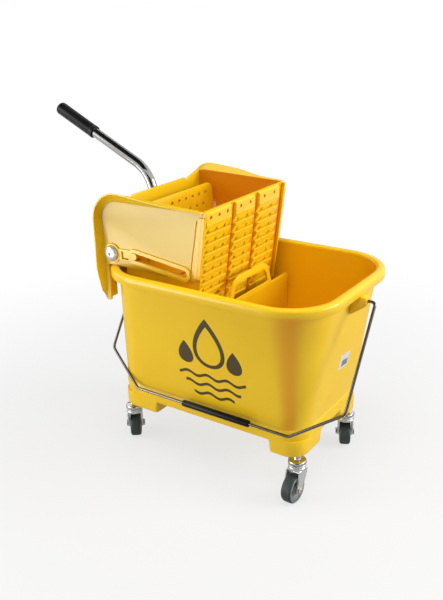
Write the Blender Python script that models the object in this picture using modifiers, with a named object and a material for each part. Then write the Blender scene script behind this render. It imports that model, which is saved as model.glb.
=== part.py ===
"""Wheeled mop bucket with a side-press wringer, built in metres with +Z up.

+X runs along the tub towards its open end, -Y is the side the bail hangs on. Every piece is its own
object; the pieces that move keep their origin on the axis they turn about or slide from.
"""
import math

import bmesh
import bpy
from mathutils import Matrix, Vector

GAP = 0.0003                 # clearance between pieces that touch

# tub
RIM_X0, RIM_X1 = -0.181, 0.250
RIM_HALF_W = 0.1605
RIM_Z = 0.3657
RIM_R = 0.092
LIP_W, LIP_DROP = 0.0157, 0.0162
WALL = 0.004
WALL_TOP_Z, WALL_LOW_Z = 0.3535, 0.1405
WALL_INSET = 0.0135                             # from the rim's edge to the wall's top
WALL_TAPER = 0.0325                             # how far the wall draws in on its way down
SKIRT_PROUD, SKIRT_TUCK = 0.0017, 0.0025        # skirt's top and foot against the foot of the wall
WALL_TOP = (-0.1675, 0.2365, RIM_HALF_W - WALL_INSET, 0.079)     # x0, x1, half width, corner radius
WALL_LOW = (-0.1725, 0.2055, WALL_TOP[2] - WALL_TAPER, 0.042)
SKIRT_TOP = (-0.1740, 0.2070, WALL_LOW[2] + SKIRT_PROUD, 0.043)
SKIRT_LOW = (-0.1715, 0.2030, WALL_LOW[2] - SKIRT_TUCK, 0.040)
SKIRT_TOP_Z, SKIRT_Z = 0.1380, 0.1120
FLOOR_Z = 0.1260
FOOT_Z = 0.0900
FOOT_RIGHT = (0.1455, 0.2037)
FOOT_LEFT = (-0.1722, -0.0885)
FOOT_W, FOOT_PROUD = 0.0767, 0.0007
FOOT_Y = (SKIRT_LOW[2] + FOOT_PROUD, SKIRT_LOW[2] + FOOT_PROUD - FOOT_W)
FOOT_FLARE = 0.012
FOOT_R = 0.030

# casters
STEM_X = (-0.1615, 0.1885)
STEM_INSET = 0.0212                             # from the foot's outer face to the stem
STEM_Y = FOOT_Y[0] - STEM_INSET
GROUND_Z = 0.0055
WHEEL_R, TYRE_W = 0.0250, 0.0195
TRAIL = 0.0135
CAP_R = 0.0155
FORK_T = 0.0022
FORK_TOP_Z, CAP_Z = 0.0655, 0.0735
CASTER_YAW = {"near_right": 88.0, "near_left": -52.0, "far_right": -62.0, "far_left": -30.0}

# wringer
CHEEK_INSET = 0.0420                            # from the rim's edge to the cheek's inner face
CHEEK_T = 0.0040
CHEEK_IN = RIM_HALF_W - CHEEK_INSET
CHEEK_OUT = CHEEK_IN + CHEEK_T
FLANGE_W = 0.0165
FLANGE_Y = CHEEK_OUT + FLANGE_W
FLANGE_T = 0.0045
CHEEK_X0 = -0.1820
CHEEK_R = 0.052
FRONT_TOP = (0.0352, 0.4832)
FRONT_LEAN = 0.134                              # run per rise, foot of the wall further back
TOP_SLOPE = 0.083
LEG_X1, LEG_Z = -0.1690, 0.2980
LEG_W = 0.0225
BASKET_Z = 0.2980
FLOOR_T = 0.0035
SHAFT_X, SHAFT_Z = -0.1570, 0.3870
SHAFT_R = 0.008
SHAFT_SIDES = 24
SLOT_START = (-0.1083, 0.3887)
SLOT_DROP = math.radians(6.9)
TRAVEL = 0.104
PIN_R = 0.006
PRESS_TURN = math.radians(65.0)
REAR_X = (-0.1487, -0.1447)
REAR_Z = (0.4120, 0.4797)

# louvred front wall
WALL_T = 0.004
ROWS, ROW_PITCH, ROW_FIRST = 10, 0.0167, 0.0210
LEDGE = 0.007
COLUMN_MARGIN = 0.0175
COLUMNS = ((GAP - CHEEK_IN, -0.0490, 3), (-0.0352, 0.0215, 2), (0.0365, CHEEK_IN - COLUMN_MARGIN, 2))

# press plate and its drive
PLATE_SIDE = 0.0065                             # from the plate's edge to the cheek
PLATE_HALF_W = CHEEK_IN - PLATE_SIDE
PLATE_TOP = (-0.1130, 0.4680)
PLATE_LEAN = 0.0875
PLATE_FOOT_Z = 0.3250
PLATE_T = 0.004
PLATE_PITCH = 0.0200
BRACKET_INSET, BRACKET_T = 0.0105, 0.0050
BRACKET_Y = (PLATE_HALF_W - BRACKET_INSET - BRACKET_T, PLATE_HALF_W - BRACKET_INSET)
BRACKET_DROP, BRACKET_FOOT_Z = 0.0035, 0.2430
CRANK_SIDE, CRANK_T = 0.0025, 0.0060
CRANK_Y = (BRACKET_Y[0] - CRANK_SIDE - CRANK_T, BRACKET_Y[0] - CRANK_SIDE)
BASKET_SIDE = 0.0060                            # from the basket floor's edge to the crank
CRANK_R = 0.1347
CRANK_START = math.radians(282.0)
ROLLER_R = 0.005

# lever
TUBE_R, GRIP_R = 0.0088, 0.0116
LEVER_BEND = (-0.1640, 0.5005)
GRIP_START = (-0.2915, 0.5618)
LEVER_TIP = (-0.3780, 0.6038)

# bail
BAIL_Z = 0.3420
BAIL_X = (-0.1980, 0.2720)
BAIL_FLAT_X = (-0.1180, 0.1910)
BAIL_SHOULDER, BAIL_REACH = 0.180, 0.238
WIRE_R = 0.0025
BAIL_GRIP_X = (-0.0160, 0.1170)
BAIL_GRIP_R = 0.0058
BAIL_CLEAR = 0.0065                             # from the sleeve to the foot of the tub's wall
BAIL_LEAN = math.asin((WALL_LOW[2] + BAIL_GRIP_R + BAIL_CLEAR) / BAIL_REACH)

# divider
DIVIDER_X, DIVIDER_T = 0.0425, 0.003
DIVIDER_TOP_Z, DIVIDER_FLARE = 0.3130, 0.0115
DIVIDER_HALF = WALL_LOW[2] + DIVIDER_FLARE
ARCH_HALF, ARCH_RISE, ARCH_BAND = 0.068, 0.0430, 0.012
ARCH_TOP_Z = DIVIDER_TOP_Z + ARCH_RISE

MATERIALS = {
    "yellow_plastic": ((0.90, 0.55, 0.02, 1.0), 0.0, 0.32),
    "bright_steel": ((0.75, 0.75, 0.76, 1.0), 1.0, 0.18),
    "black_grip": ((0.02, 0.02, 0.02, 1.0), 0.0, 0.55),
    "tyre_rubber": ((0.06, 0.09, 0.09, 1.0), 0.0, 0.60),
    "grey_hub": ((0.35, 0.37, 0.37, 1.0), 0.0, 0.45),
}

XZ = Matrix(((1, 0, 0, 0), (0, 0, -1, 0), (0, 1, 0, 0), (0, 0, 0, 1)))
YZ = Matrix(((0, 0, 1, 0), (1, 0, 0, 0), (0, 1, 0, 0), (0, 0, 0, 1)))


def clear_scene():
    """Remove every object already in the file."""
    for obj in list(bpy.data.objects):
        bpy.data.objects.remove(obj, do_unlink=True)


def make_collection(name):
    """Return a new collection linked to the scene."""
    coll = bpy.data.collections.new(name)
    bpy.context.scene.collection.children.link(coll)
    return coll


def make_materials():
    """Return one Principled material per slot."""
    made = {}
    for name, (color, metallic, rough) in MATERIALS.items():
        mat = bpy.data.materials.new(name)
        mat.use_nodes = True
        bsdf = mat.node_tree.nodes["Principled BSDF"]
        bsdf.inputs["Base Color"].default_value = color
        bsdf.inputs["Metallic"].default_value = metallic
        bsdf.inputs["Roughness"].default_value = rough
        made[name] = mat
    return made


def baked(obj):
    """Return the evaluated mesh of a scratch object and remove the object."""
    bpy.context.scene.collection.objects.link(obj)
    bpy.context.view_layer.update()
    graph = bpy.context.evaluated_depsgraph_get()
    mesh = bpy.data.meshes.new_from_object(obj.evaluated_get(graph))
    mesh.transform(obj.matrix_world)
    bpy.data.objects.remove(obj, do_unlink=True)
    return mesh


def tidy(mesh, distance=0.00001):
    """Weld a mesh, turn its faces outwards and return it."""
    bm = bmesh.new()
    bm.from_mesh(mesh)
    bmesh.ops.remove_doubles(bm, verts=bm.verts, dist=distance)
    bmesh.ops.dissolve_degenerate(bm, edges=bm.edges, dist=0.000001)
    bmesh.ops.recalc_face_normals(bm, faces=bm.faces)
    bm.to_mesh(mesh)
    bm.free()
    return mesh


def prism(outlines, low, high, basis=None):
    """Extrude closed outlines (the first is the outside, the rest are holes) from low to high."""
    curve = bpy.data.curves.new("outline", "CURVE")
    curve.dimensions = "2D"
    curve.fill_mode = "BOTH"
    curve.extrude = (high - low) / 2
    for points in outlines:
        spline = curve.splines.new("POLY")
        spline.points.add(len(points) - 1)
        for slot, (u, v) in zip(spline.points, points):
            slot.co = (u, v, 0.0, 1.0)
        spline.use_cyclic_u = True
    mesh = tidy(baked(bpy.data.objects.new("outline", curve)))
    mesh.transform(Matrix.Translation((0, 0, (low + high) / 2)))
    if basis is not None:
        mesh.transform(basis)
    return mesh


def side_prism(outlines, y0, y1):
    """Extrude X-Z outlines across Y from y0 to y1."""
    return prism(outlines, -y1, -y0, XZ)


def end_prism(outlines, x0, x1):
    """Extrude Y-Z outlines along X from x0 to x1."""
    return prism(outlines, x0, x1, YZ)


def rod(start, end, radius, sides=24):
    """Return a closed round bar between two points."""
    start, end = Vector(start), Vector(end)
    bm = bmesh.new()
    bmesh.ops.create_cone(bm, cap_ends=True, segments=sides, radius1=radius, radius2=radius,
                          depth=(end - start).length)
    turn = Vector((0, 0, 1)).rotation_difference(end - start).to_matrix().to_4x4()
    bmesh.ops.transform(bm, matrix=Matrix.Translation((start + end) / 2) @ turn, verts=bm.verts)
    mesh = bpy.data.meshes.new("rod")
    bm.to_mesh(mesh)
    bm.free()
    return mesh


def lathe(profile, sides, closed):
    """Turn a profile of (radius, z) pairs about Z; a closed profile makes a ring."""
    mesh = bpy.data.meshes.new("profile")
    edges = [(i, i + 1) for i in range(len(profile) - 1)]
    if closed:
        edges.append((len(profile) - 1, 0))
    mesh.from_pydata([(r, 0.0, z) for r, z in profile], edges, [])
    obj = bpy.data.objects.new("profile", mesh)
    screw = obj.modifiers.new("turn", "SCREW")
    screw.axis = "Z"
    screw.angle = math.tau
    screw.steps = sides
    screw.render_steps = sides
    screw.use_merge_vertices = True
    screw.merge_threshold = 0.00002
    return tidy(baked(obj))


def sweep(points, radius, resolution):
    """Return a round bar along a chain of points, closed at both ends."""
    curve = bpy.data.curves.new("path", "CURVE")
    curve.dimensions = "3D"
    curve.bevel_depth = radius
    curve.bevel_resolution = resolution
    curve.use_fill_caps = True
    spline = curve.splines.new("POLY")
    spline.points.add(len(points) - 1)
    for slot, point in zip(spline.points, points):
        slot.co = (*point, 1.0)
    return tidy(baked(bpy.data.objects.new("path", curve)))


def joined(meshes):
    """Return one mesh holding several separate ones."""
    bm = bmesh.new()
    for mesh in meshes:
        bm.from_mesh(mesh)
    out = bpy.data.meshes.new("joined")
    bm.to_mesh(out)
    bm.free()
    return out


def combine(base, others, operation):
    """Return base after an exact Boolean with each of the other meshes in turn."""
    for other in others:
        body = bpy.data.objects.new("body", base)
        tool = bpy.data.objects.new("tool", other)
        bpy.context.scene.collection.objects.link(tool)
        cut = body.modifiers.new("cut", "BOOLEAN")
        cut.operation = operation
        cut.solver = "EXACT"
        cut.object = tool
        base = tidy(baked(body), 0.000002)
        bpy.data.objects.remove(tool, do_unlink=True)
    return base


def loft(rings):
    """Skin a chain of rings of equal count and close both ends."""
    bm = bmesh.new()
    rows = [[bm.verts.new(p) for p in ring] for ring in rings]
    for low, high in zip(rows, rows[1:]):
        for i in range(len(low)):
            j = (i + 1) % len(low)
            bm.faces.new((low[i], low[j], high[j], high[i]))
    bm.faces.new(list(reversed(rows[0])))
    bm.faces.new(rows[-1])
    mesh = bpy.data.meshes.new("loft")
    bm.to_mesh(mesh)
    bm.free()
    return tidy(mesh)


def rounded_ring(x0, x1, y0, y1, radius, z, steps):
    """Return the points of a rounded rectangle at height z."""
    points = []
    corners = ((x1, y1, -1, -1, 0), (x0, y1, 1, -1, 90), (x0, y0, 1, 1, 180), (x1, y0, -1, 1, 270))
    for cx, cy, sx, sy, start in corners:
        for k in range(steps + 1):
            a = math.radians(start + 90 * k / steps)
            points.append((cx + sx * radius + radius * math.cos(a),
                           cy + sy * radius + radius * math.sin(a), z))
    return points


def rounded(points, radii, steps=5):
    """Round the corners of a polygon; radii is one number or one per corner."""
    if isinstance(radii, float):
        radii = [radii] * len(points)
    out = []
    for i, here in enumerate(points):
        r = radii[i]
        if r <= 0:
            out.append(tuple(here))
            continue
        here = Vector(here)
        back = (Vector(points[i - 1]) - here).normalized()
        ahead = (Vector(points[(i + 1) % len(points)]) - here).normalized()
        half = back.angle(ahead) / 2
        reach = r / math.tan(half)
        centre = here + (back + ahead).normalized() * (r / math.sin(half))
        first, last = here + back * reach - centre, here + ahead * reach - centre
        turn = first.angle_signed(last)
        for k in range(steps + 1):
            a = -turn * k / steps
            out.append((centre.x + first.x * math.cos(a) - first.y * math.sin(a),
                        centre.y + first.x * math.sin(a) + first.y * math.cos(a)))
    return out


def rounded_path(points, radii, steps):
    """Round the inner corners of an open chain of 2-D points."""
    inner = rounded(points, [0.0] + list(radii) + [0.0], steps)
    return inner


def stadium(start, end, radius, steps=5):
    """Return the outline of a slot between two centres."""
    start, end = Vector(start), Vector(end)
    heading = math.atan2(end.y - start.y, end.x - start.x)
    points = []
    for centre, base in ((end, heading - math.pi / 2), (start, heading + math.pi / 2)):
        for k in range(steps + 1):
            a = base + math.pi * k / steps
            points.append((centre.x + radius * math.cos(a), centre.y + radius * math.sin(a)))
    return points


def circle(u, v, radius, sides):
    """Return the points of a circle."""
    return [(u + radius * math.cos(math.tau * k / sides), v + radius * math.sin(math.tau * k / sides))
            for k in range(sides)]


def wall_section(z):
    """Return x0, x1, half width and corner radius of the tub's outer wall at height z."""
    t = (z - WALL_LOW_Z) / (WALL_TOP_Z - WALL_LOW_Z)
    return tuple(a + (b - a) * t for a, b in zip(WALL_LOW, WALL_TOP))


def section_ring(section, inset, z, steps=6):
    """Return a ring of a tub section drawn in by an inset."""
    x0, x1, half, r = section
    r = max(r - inset, 0.006)
    return rounded_ring(x0 + inset, x1 - inset, -half + inset, half - inset, r, z, steps)


def shifted(mesh, offset):
    """Return the mesh moved by an offset."""
    mesh.transform(Matrix.Translation(offset))
    return mesh


class Part:
    """Collects the finished pieces under one root empty."""

    def __init__(self, name):
        self.collection = make_collection(name)
        self.materials = make_materials()
        self.root = bpy.data.objects.new(name + "_frame", None)
        self.collection.objects.link(self.root)
        self.pieces = []

    def add(self, name, mesh, slot, pivot=(0.0, 0.0, 0.0), smooth=True):
        """Place a mesh given in the bucket's frame as a named piece with its origin on pivot."""
        mesh.transform(Matrix.Translation(-Vector(pivot)))
        mesh.name = name
        mesh.materials.clear()
        mesh.materials.append(self.materials[slot])
        for face in mesh.polygons:
            face.use_smooth = smooth
            face.material_index = 0
        if smooth:
            mesh.set_sharp_from_angle(angle=math.radians(35))
        obj = bpy.data.objects.new(name, mesh)
        obj.location = pivot
        obj.parent = self.root
        self.collection.objects.link(obj)
        self.pieces.append(obj)
        return obj

    def settle(self):
        """Move the root so that the whole stands centred over the origin and return the shift."""
        bpy.context.view_layer.update()
        points = [o.matrix_world @ v.co for o in self.pieces for v in o.data.vertices]
        low = [min(p[i] for p in points) for i in range(3)]
        high = [max(p[i] for p in points) for i in range(3)]
        self.root.location = (-(low[0] + high[0]) / 2, -(low[1] + high[1]) / 2, -low[2])
        return self.root.location.copy(), [b - a for a, b in zip(low, high)]


def build_tub(part):
    """Tapered tub with a turned-down lip, a raised skirt, four feet and two bail bosses."""
    rim = (RIM_X0, RIM_X1, RIM_HALF_W, RIM_R)
    lip_low = RIM_Z - LIP_DROP
    rings = [
        section_ring(SKIRT_LOW, 0.0055, FLOOR_Z - WALL),
        section_ring(SKIRT_LOW, 0.0045, SKIRT_Z),
        section_ring(SKIRT_LOW, 0.0, SKIRT_Z),
        section_ring(SKIRT_TOP, 0.0, SKIRT_TOP_Z),
        section_ring(WALL_LOW, 0.0, WALL_LOW_Z),
        section_ring(WALL_TOP, 0.0, WALL_TOP_Z),
        section_ring(rim, 0.0030, WALL_TOP_Z),
        section_ring(rim, 0.0030, lip_low),
        section_ring(rim, 0.0, lip_low),
        section_ring(rim, 0.0, RIM_Z - 0.0046),
        section_ring(rim, 0.0015, RIM_Z - 0.0014),
        section_ring(rim, 0.0046, RIM_Z),
        section_ring(rim, LIP_W - 0.0050, RIM_Z),
        section_ring(rim, LIP_W - 0.0014, RIM_Z - 0.0014),
        section_ring(rim, LIP_W, RIM_Z - 0.0050),
        section_ring(WALL_TOP, WALL, WALL_TOP_Z - 0.006),
        section_ring(WALL_LOW, WALL, WALL_LOW_Z),
        section_ring(WALL_LOW, WALL + 0.0030, FLOOR_Z + 0.0045),
        section_ring(WALL_LOW, WALL + 0.0100, FLOOR_Z),
    ]
    body = loft(rings)
    feet = []
    for x0, x1 in (FOOT_LEFT, FOOT_RIGHT):
        for side in (-1, 1):
            feet.append(foot(x0, x1, side))
    bosses = [bail_boss(RIM_X1, wall_section(BAIL_Z)[1], 1), bail_boss(RIM_X0, wall_section(BAIL_Z)[0], -1)]
    body = combine(body, feet + bosses, "UNION")
    holes = joined([
        rod((RIM_X1 - 0.004, 0, BAIL_Z), (BAIL_X[1], 0, BAIL_Z), WIRE_R + 0.0001),
        rod((RIM_X0 + 0.004, 0, BAIL_Z), (BAIL_X[0], 0, BAIL_Z), WIRE_R + 0.0001),
    ])
    body = combine(body, [holes], "DIFFERENCE")
    part.add("tub", body, "yellow_plastic")


def foot(x0, x1, side):
    """One tapering foot under a corner of the skirt, flared where it leaves it."""
    outer, inner = FOOT_Y
    rings = []
    steps = ((FOOT_Z, -0.0020, 0.0022), (FOOT_Z + 0.0030, 0.0, 0.0004), (FOOT_Z + 0.0170, 0.0010, 0.0),
             (SKIRT_Z + 0.0005, 0.0045, 0.0), (FOOT_Z + 0.0290, FOOT_FLARE, 0.0006))
    for z, grow, draw in steps:
        y_out, y_in = side * (outer - draw), side * (inner - grow)
        if x0 < 0:
            corners = [(x0 + draw, y_out), (x0 + draw, y_in), (x1 + grow, y_in), (x1 + grow, y_out)]
        else:
            corners = [(x1 - draw, y_out), (x1 - draw, y_in), (x0 - grow, y_in), (x0 - grow, y_out)]
        plan = rounded(corners, [FOOT_R, 0.006, 0.006, 0.006], 4)
        rings.append([(x, y, z) for x, y in plan])
    return loft(rings)


def bail_boss(lip_x, wall_x, side):
    """Gusseted boss under the lip that takes an end of the bail."""
    tip = lip_x + side * 0.0095
    root = wall_x - side * 0.002
    web = [(root, BAIL_Z + 0.0090), (tip, BAIL_Z + 0.0070), (tip, BAIL_Z - 0.0065), (root, BAIL_Z - 0.0260)]
    return side_prism([web], -0.0085, 0.0085)


def front_x(z):
    """Outer face of the leaning front wall at height z."""
    return FRONT_TOP[0] - (FRONT_TOP[1] - z) * FRONT_LEAN


def cheek_top(x):
    """Height of the cheek's top edge at x."""
    return FRONT_TOP[1] + (FRONT_TOP[0] - x) * TOP_SLOPE


def slot_end():
    """Far centre of the guide slot."""
    return (SLOT_START[0] + TRAVEL * math.cos(SLOT_DROP), SLOT_START[1] - TRAVEL * math.sin(SLOT_DROP))


def build_cheek(part, name, side):
    """Side cheek of the wringer: recessed panel, outward flange, leg, slotted rib and shaft hole."""
    seat = RIM_Z + GAP
    outline = rounded(
        [(front_x(seat), seat), FRONT_TOP, (CHEEK_X0, cheek_top(CHEEK_X0)), (CHEEK_X0, 0.345),
         (CHEEK_X0 + 0.004, LEG_Z), (LEG_X1, LEG_Z), (LEG_X1, seat)],
        [0.0, 0.004, CHEEK_R, 0.012, 0.003, 0.003, 0.003], 6)
    panel = side_prism([outline], -CHEEK_OUT, -CHEEK_IN)
    band_in = rounded(
        [(FRONT_TOP[0] + 0.010, cheek_top(FRONT_TOP[0] + 0.010) - FLANGE_T),
         (CHEEK_X0 + FLANGE_T, cheek_top(CHEEK_X0 + FLANGE_T) - FLANGE_T),
         (CHEEK_X0 + FLANGE_T, LEG_Z - 0.004), (LEG_X1 + 0.3, LEG_Z - 0.004)],
        [0.0, CHEEK_R - FLANGE_T, 0.0, 0.0], 6)
    flange = side_prism([outline], -FLANGE_Y, -CHEEK_OUT + 0.001)
    inside = side_prism([band_in], -FLANGE_Y - 0.01, -CHEEK_IN + 0.004)
    flange = combine(flange, [inside], "DIFFERENCE")
    front_cut = prism([[(FRONT_TOP[0] + 0.02, -CHEEK_OUT - 0.0012), (-0.075, -FLANGE_Y - 0.0005),
                        (-0.075, -FLANGE_Y - 0.02), (FRONT_TOP[0] + 0.02, -FLANGE_Y - 0.02)]], 0.40, 0.60)
    foot_cut = end_prism([[(-CHEEK_OUT - 0.0040, LEG_Z - 0.01), (-FLANGE_Y - 0.0005, 0.362),
                           (-FLANGE_Y - 0.02, 0.362), (-FLANGE_Y - 0.02, LEG_Z - 0.01)]], -0.25, 0.0)
    flange = combine(flange, [front_cut, foot_cut], "DIFFERENCE")
    far = slot_end()
    pad_y = -CHEEK_OUT - 0.0026
    rib = side_prism([stadium(SLOT_START, far, 0.0128)], pad_y, -CHEEK_OUT + 0.001)
    neck = side_prism([stadium((SHAFT_X, SHAFT_Z), SLOT_START, 0.0098)], pad_y, -CHEEK_OUT + 0.0012)
    disc = side_prism([circle(SHAFT_X, SHAFT_Z, 0.0172, 18)], pad_y, -CHEEK_OUT + 0.0014)
    post = side_prism([[(front_x(0.372) - 0.0185, 0.372), (front_x(0.372) - 0.0012, 0.372),
                        (front_x(0.474) - 0.0012, 0.474), (front_x(0.474) - 0.0185, 0.474)]],
                      -CHEEK_OUT - 0.0022, -CHEEK_OUT + 0.0016)
    rear = -0.1310
    inset = WALL_T + GAP
    lower = side_prism([[(front_x(BASKET_Z) - inset, BASKET_Z), (front_x(seat + 0.006) - inset, seat + 0.006),
                         (rear, seat + 0.006), (rear, BASKET_Z)]], -CHEEK_IN - 0.0004, -CHEEK_IN + 0.0040)
    rest_z = 0.3300
    reach = wall_section(rest_z - 0.012)[2] - WALL - GAP - 0.0004
    pads = [side_prism([[(x, rest_z - 0.012), (x + 0.012, rest_z - 0.012), (x + 0.012, rest_z), (x, rest_z)]],
                       -reach, -CHEEK_IN + 0.001) for x in (-0.085, -0.010)]
    back_leg = prism([[(CHEEK_X0 + 0.0004, -CHEEK_IN - 0.001), (CHEEK_X0 + 0.0050, -CHEEK_IN - 0.001),
                       (CHEEK_X0 + 0.0050, LEG_W - CHEEK_IN), (CHEEK_X0 + 0.0004, LEG_W - CHEEK_IN)]],
                     LEG_Z + 0.0016, 0.4000)
    body = combine(panel, [flange, rib, neck, disc, post, lower, back_leg] + pads, "UNION")
    through = (-FLANGE_Y - 0.011, -CHEEK_IN + 0.0185)
    cuts = [
        side_prism([stadium(SLOT_START, far, PIN_R + 0.0005)], *through),
        side_prism([circle(SHAFT_X, SHAFT_Z, SHAFT_R + 0.0001, SHAFT_SIDES)], *through),
        side_prism([[(-0.1390, 0.3950), (-0.1360, 0.3950), (-0.1360, 0.3845), (-0.1290, 0.3840),
                     (-0.1290, 0.3815), (-0.1390, 0.3815)]], through[0], -CHEEK_OUT - 0.0008),
    ]
    body = combine(body, cuts, "DIFFERENCE")
    if side > 0:
        body.transform(Matrix.Diagonal((1, -1, 1, 1)))
        body.flip_normals()
    part.add(name, tidy(body, 0.000002), "yellow_plastic")


def build_front_wall(part):
    """Leaning front wall with columns of sawtooth ledges and a drain hole at each ledge root."""
    half = CHEEK_IN - GAP
    z0 = BASKET_Z
    base = side_prism([[(front_x(z0) - WALL_T, z0), (front_x(z0), z0), FRONT_TOP,
                        (FRONT_TOP[0] - WALL_T, FRONT_TOP[1])]], -half, half)
    teeth, holes = [], []
    for y0, y1, count in COLUMNS:
        profile = [(front_x(FRONT_TOP[1] - ROW_FIRST) - 0.001, FRONT_TOP[1] - ROW_FIRST)]
        for row in range(ROWS):
            top = FRONT_TOP[1] - ROW_FIRST - row * ROW_PITCH
            foot_z = top - ROW_PITCH
            profile.append((front_x(top) + LEDGE, top - 0.0008))
            profile.append((front_x(top) + LEDGE - 0.0006, top - 0.0035))
            profile.append((front_x(foot_z) + 0.0006, foot_z))
        last = FRONT_TOP[1] - ROW_FIRST - ROWS * ROW_PITCH
        profile.append((front_x(last) - 0.001, last))
        teeth.append(side_prism([profile], max(y0, -half + 0.0002), y1))
        for row in range(ROWS - 1):
            z = FRONT_TOP[1] - ROW_FIRST - row * ROW_PITCH + 0.0030
            radius = 0.0019
            if row == 0:
                z, radius = FRONT_TOP[1] - 0.0115, 0.0027
            for k in range(count):
                y = y0 + (y1 - y0) * (k + 0.5) / count
                holes.append(rod((front_x(z) - 0.012, y, z), (front_x(z) + 0.012, y, z), radius, 6))
    body = combine(base, teeth, "UNION")
    body = combine(body, [joined(holes)], "DIFFERENCE")
    part.add("wringer_front_wall", body, "yellow_plastic", smooth=False)


def build_rear_wall(part):
    """Plain upper rear wall with a vee notch beside each raised corner."""
    half = CHEEK_IN - GAP
    low, high = REAR_Z
    corner = cheek_top(REAR_X[0]) - 0.0105
    right = [(0.0740, high), (0.0790, high - 0.0075), (0.0850, high - 0.0005), (half, corner)]
    left = [(-y, z) for y, z in reversed(right)]
    outline = [(-half, low), (half, low)] + list(reversed(right)) + list(reversed(left))
    part.add("wringer_rear_wall", end_prism([outline], *REAR_X), "yellow_plastic", smooth=False)


def plate_x(z):
    """Working face of the press plate at height z."""
    return PLATE_TOP[0] + (PLATE_TOP[1] - z) * PLATE_LEAN


def build_basket_floor(part):
    """Sloping drained floor of the basket, parallel to the guide slots."""
    fall = math.tan(SLOT_DROP)
    half = CRANK_Y[0] - BASKET_SIDE
    top = PLATE_FOOT_Z - BRACKET_DROP
    low = top - FLOOR_T
    back, front = -0.1270, 0.0
    for _ in range(6):
        front = front_x(low - (front - PLATE_TOP[0]) * fall) - WALL_T - GAP
    holes = [circle(back + 0.026 + 0.030 * i, -0.0540 + 0.0360 * j, 0.0045, 6)
             for i in range(4) for j in range(4)]
    outline = rounded([(back, -half), (front, -half), (front, half), (back, half)],
                      [0.006, 0.0, 0.0, 0.006], 3)
    mesh = prism([outline] + holes, -FLOOR_T, 0.0)
    for v in mesh.vertices:
        v.co.z += top - (v.co.x - PLATE_TOP[0]) * fall
    part.add("wringer_basket_floor", mesh, "yellow_plastic", smooth=False)


def build_press_plate(part):
    """Perforated press plate, leaning so that it closes on the front wall from the foot up."""
    height = PLATE_TOP[1] - PLATE_FOOT_Z
    half = PLATE_HALF_W
    outline = rounded([(-half, 0), (half, 0), (half, height), (-half, height)],
                      [0.004, 0.004, 0.013, 0.013], 4)
    holes = []
    for row in range(5):
        v = height - 0.0150 - row * PLATE_PITCH
        count = 10 - row % 2
        for k in range(count):
            holes.append(circle((k - (count - 1) / 2) * PLATE_PITCH, v, 0.0030, 6))
    mesh = prism([outline] + holes, -PLATE_T, 0.0, YZ)
    for v in mesh.vertices:
        v.co.x += plate_x(PLATE_FOOT_Z) - v.co.z * PLATE_LEAN
        v.co.z += PLATE_FOOT_Z
    part.add("press_plate", mesh, "yellow_plastic", smooth=False)


def cam_point(t):
    """Centre of the crank roller in the press plate's frame, t from 0 at rest to 1 pressed."""
    a = CRANK_START + PRESS_TURN * t
    return (SHAFT_X + CRANK_R * math.cos(a) - TRAVEL * t * math.cos(SLOT_DROP),
            SHAFT_Z + CRANK_R * math.sin(a) + TRAVEL * t * math.sin(SLOT_DROP))


def cam_slot(width, steps=9):
    """Outline of the curved track that keeps the plate in step with the lever."""
    centres = [Vector(cam_point(k / steps)) for k in range(steps + 1)]
    left, right = [], []
    for k, c in enumerate(centres):
        along = (centres[min(k + 1, steps)] - centres[max(k - 1, 0)]).normalized()
        side = Vector((-along.y, along.x)) * width
        left.append(c + side)
        right.append(c - side)
    head = (centres[-1] - centres[-2]).normalized()
    tail = (centres[0] - centres[1]).normalized()
    caps = []
    for centre, way in ((centres[-1], head), (centres[0], tail)):
        base = math.atan2(way.y, way.x)
        caps.append([centre + Vector((math.cos(base + a), math.sin(base + a))) * width
                     for a in (math.radians(d) for d in (-60, -30, 0, 30, 60))])
    return [tuple(p) for p in right + caps[0] + list(reversed(left)) + caps[1]]


def build_brackets(part):
    """End brackets behind the press plate: guide pin outside, curved cam track for the crank roller."""
    gap = 0.0004
    back = PLATE_T + gap
    low = PLATE_FOOT_Z - BRACKET_DROP
    outline = rounded(
        [(-0.1405, BRACKET_FOOT_Z), (-0.1160, BRACKET_FOOT_Z), (-0.1030, BRACKET_FOOT_Z + 0.0440),
         (plate_x(low) - back, low),
         (plate_x(0.4030) - back, 0.4030), (-0.1260, 0.4030), (-0.1405, 0.3720)],
        [0.006, 0.008, 0.010, 0.0, 0.0, 0.005, 0.008])
    y0, y1 = BRACKET_Y
    web = side_prism([outline, cam_slot(ROLLER_R + 0.0003)], -y1, -y0)
    for name, side in (("near", -1), ("far", 1)):
        body = web.copy()
        arm = side_prism([rounded([(-0.1260, 0.3820), (plate_x(0.382) - back, 0.3820),
                                   (plate_x(0.3955) - back, 0.3955), (-0.1260, 0.3955)], 0.0)],
                         -PLATE_HALF_W - 0.0015, -y0 - 0.001)
        peg = rod((SLOT_START[0], -CHEEK_OUT - 0.0030, SLOT_START[1]),
                  (SLOT_START[0], -PLATE_HALF_W - 0.0006, SLOT_START[1]), PIN_R, 16)
        body = combine(body, [arm, peg], "UNION")
        if side > 0:
            body.transform(Matrix.Diagonal((1, -1, 1, 1)))
            body.flip_normals()
        part.add("press_bracket_" + name, tidy(body, 0.000002), "yellow_plastic", smooth=False)
    bpy.data.meshes.remove(web)


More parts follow.
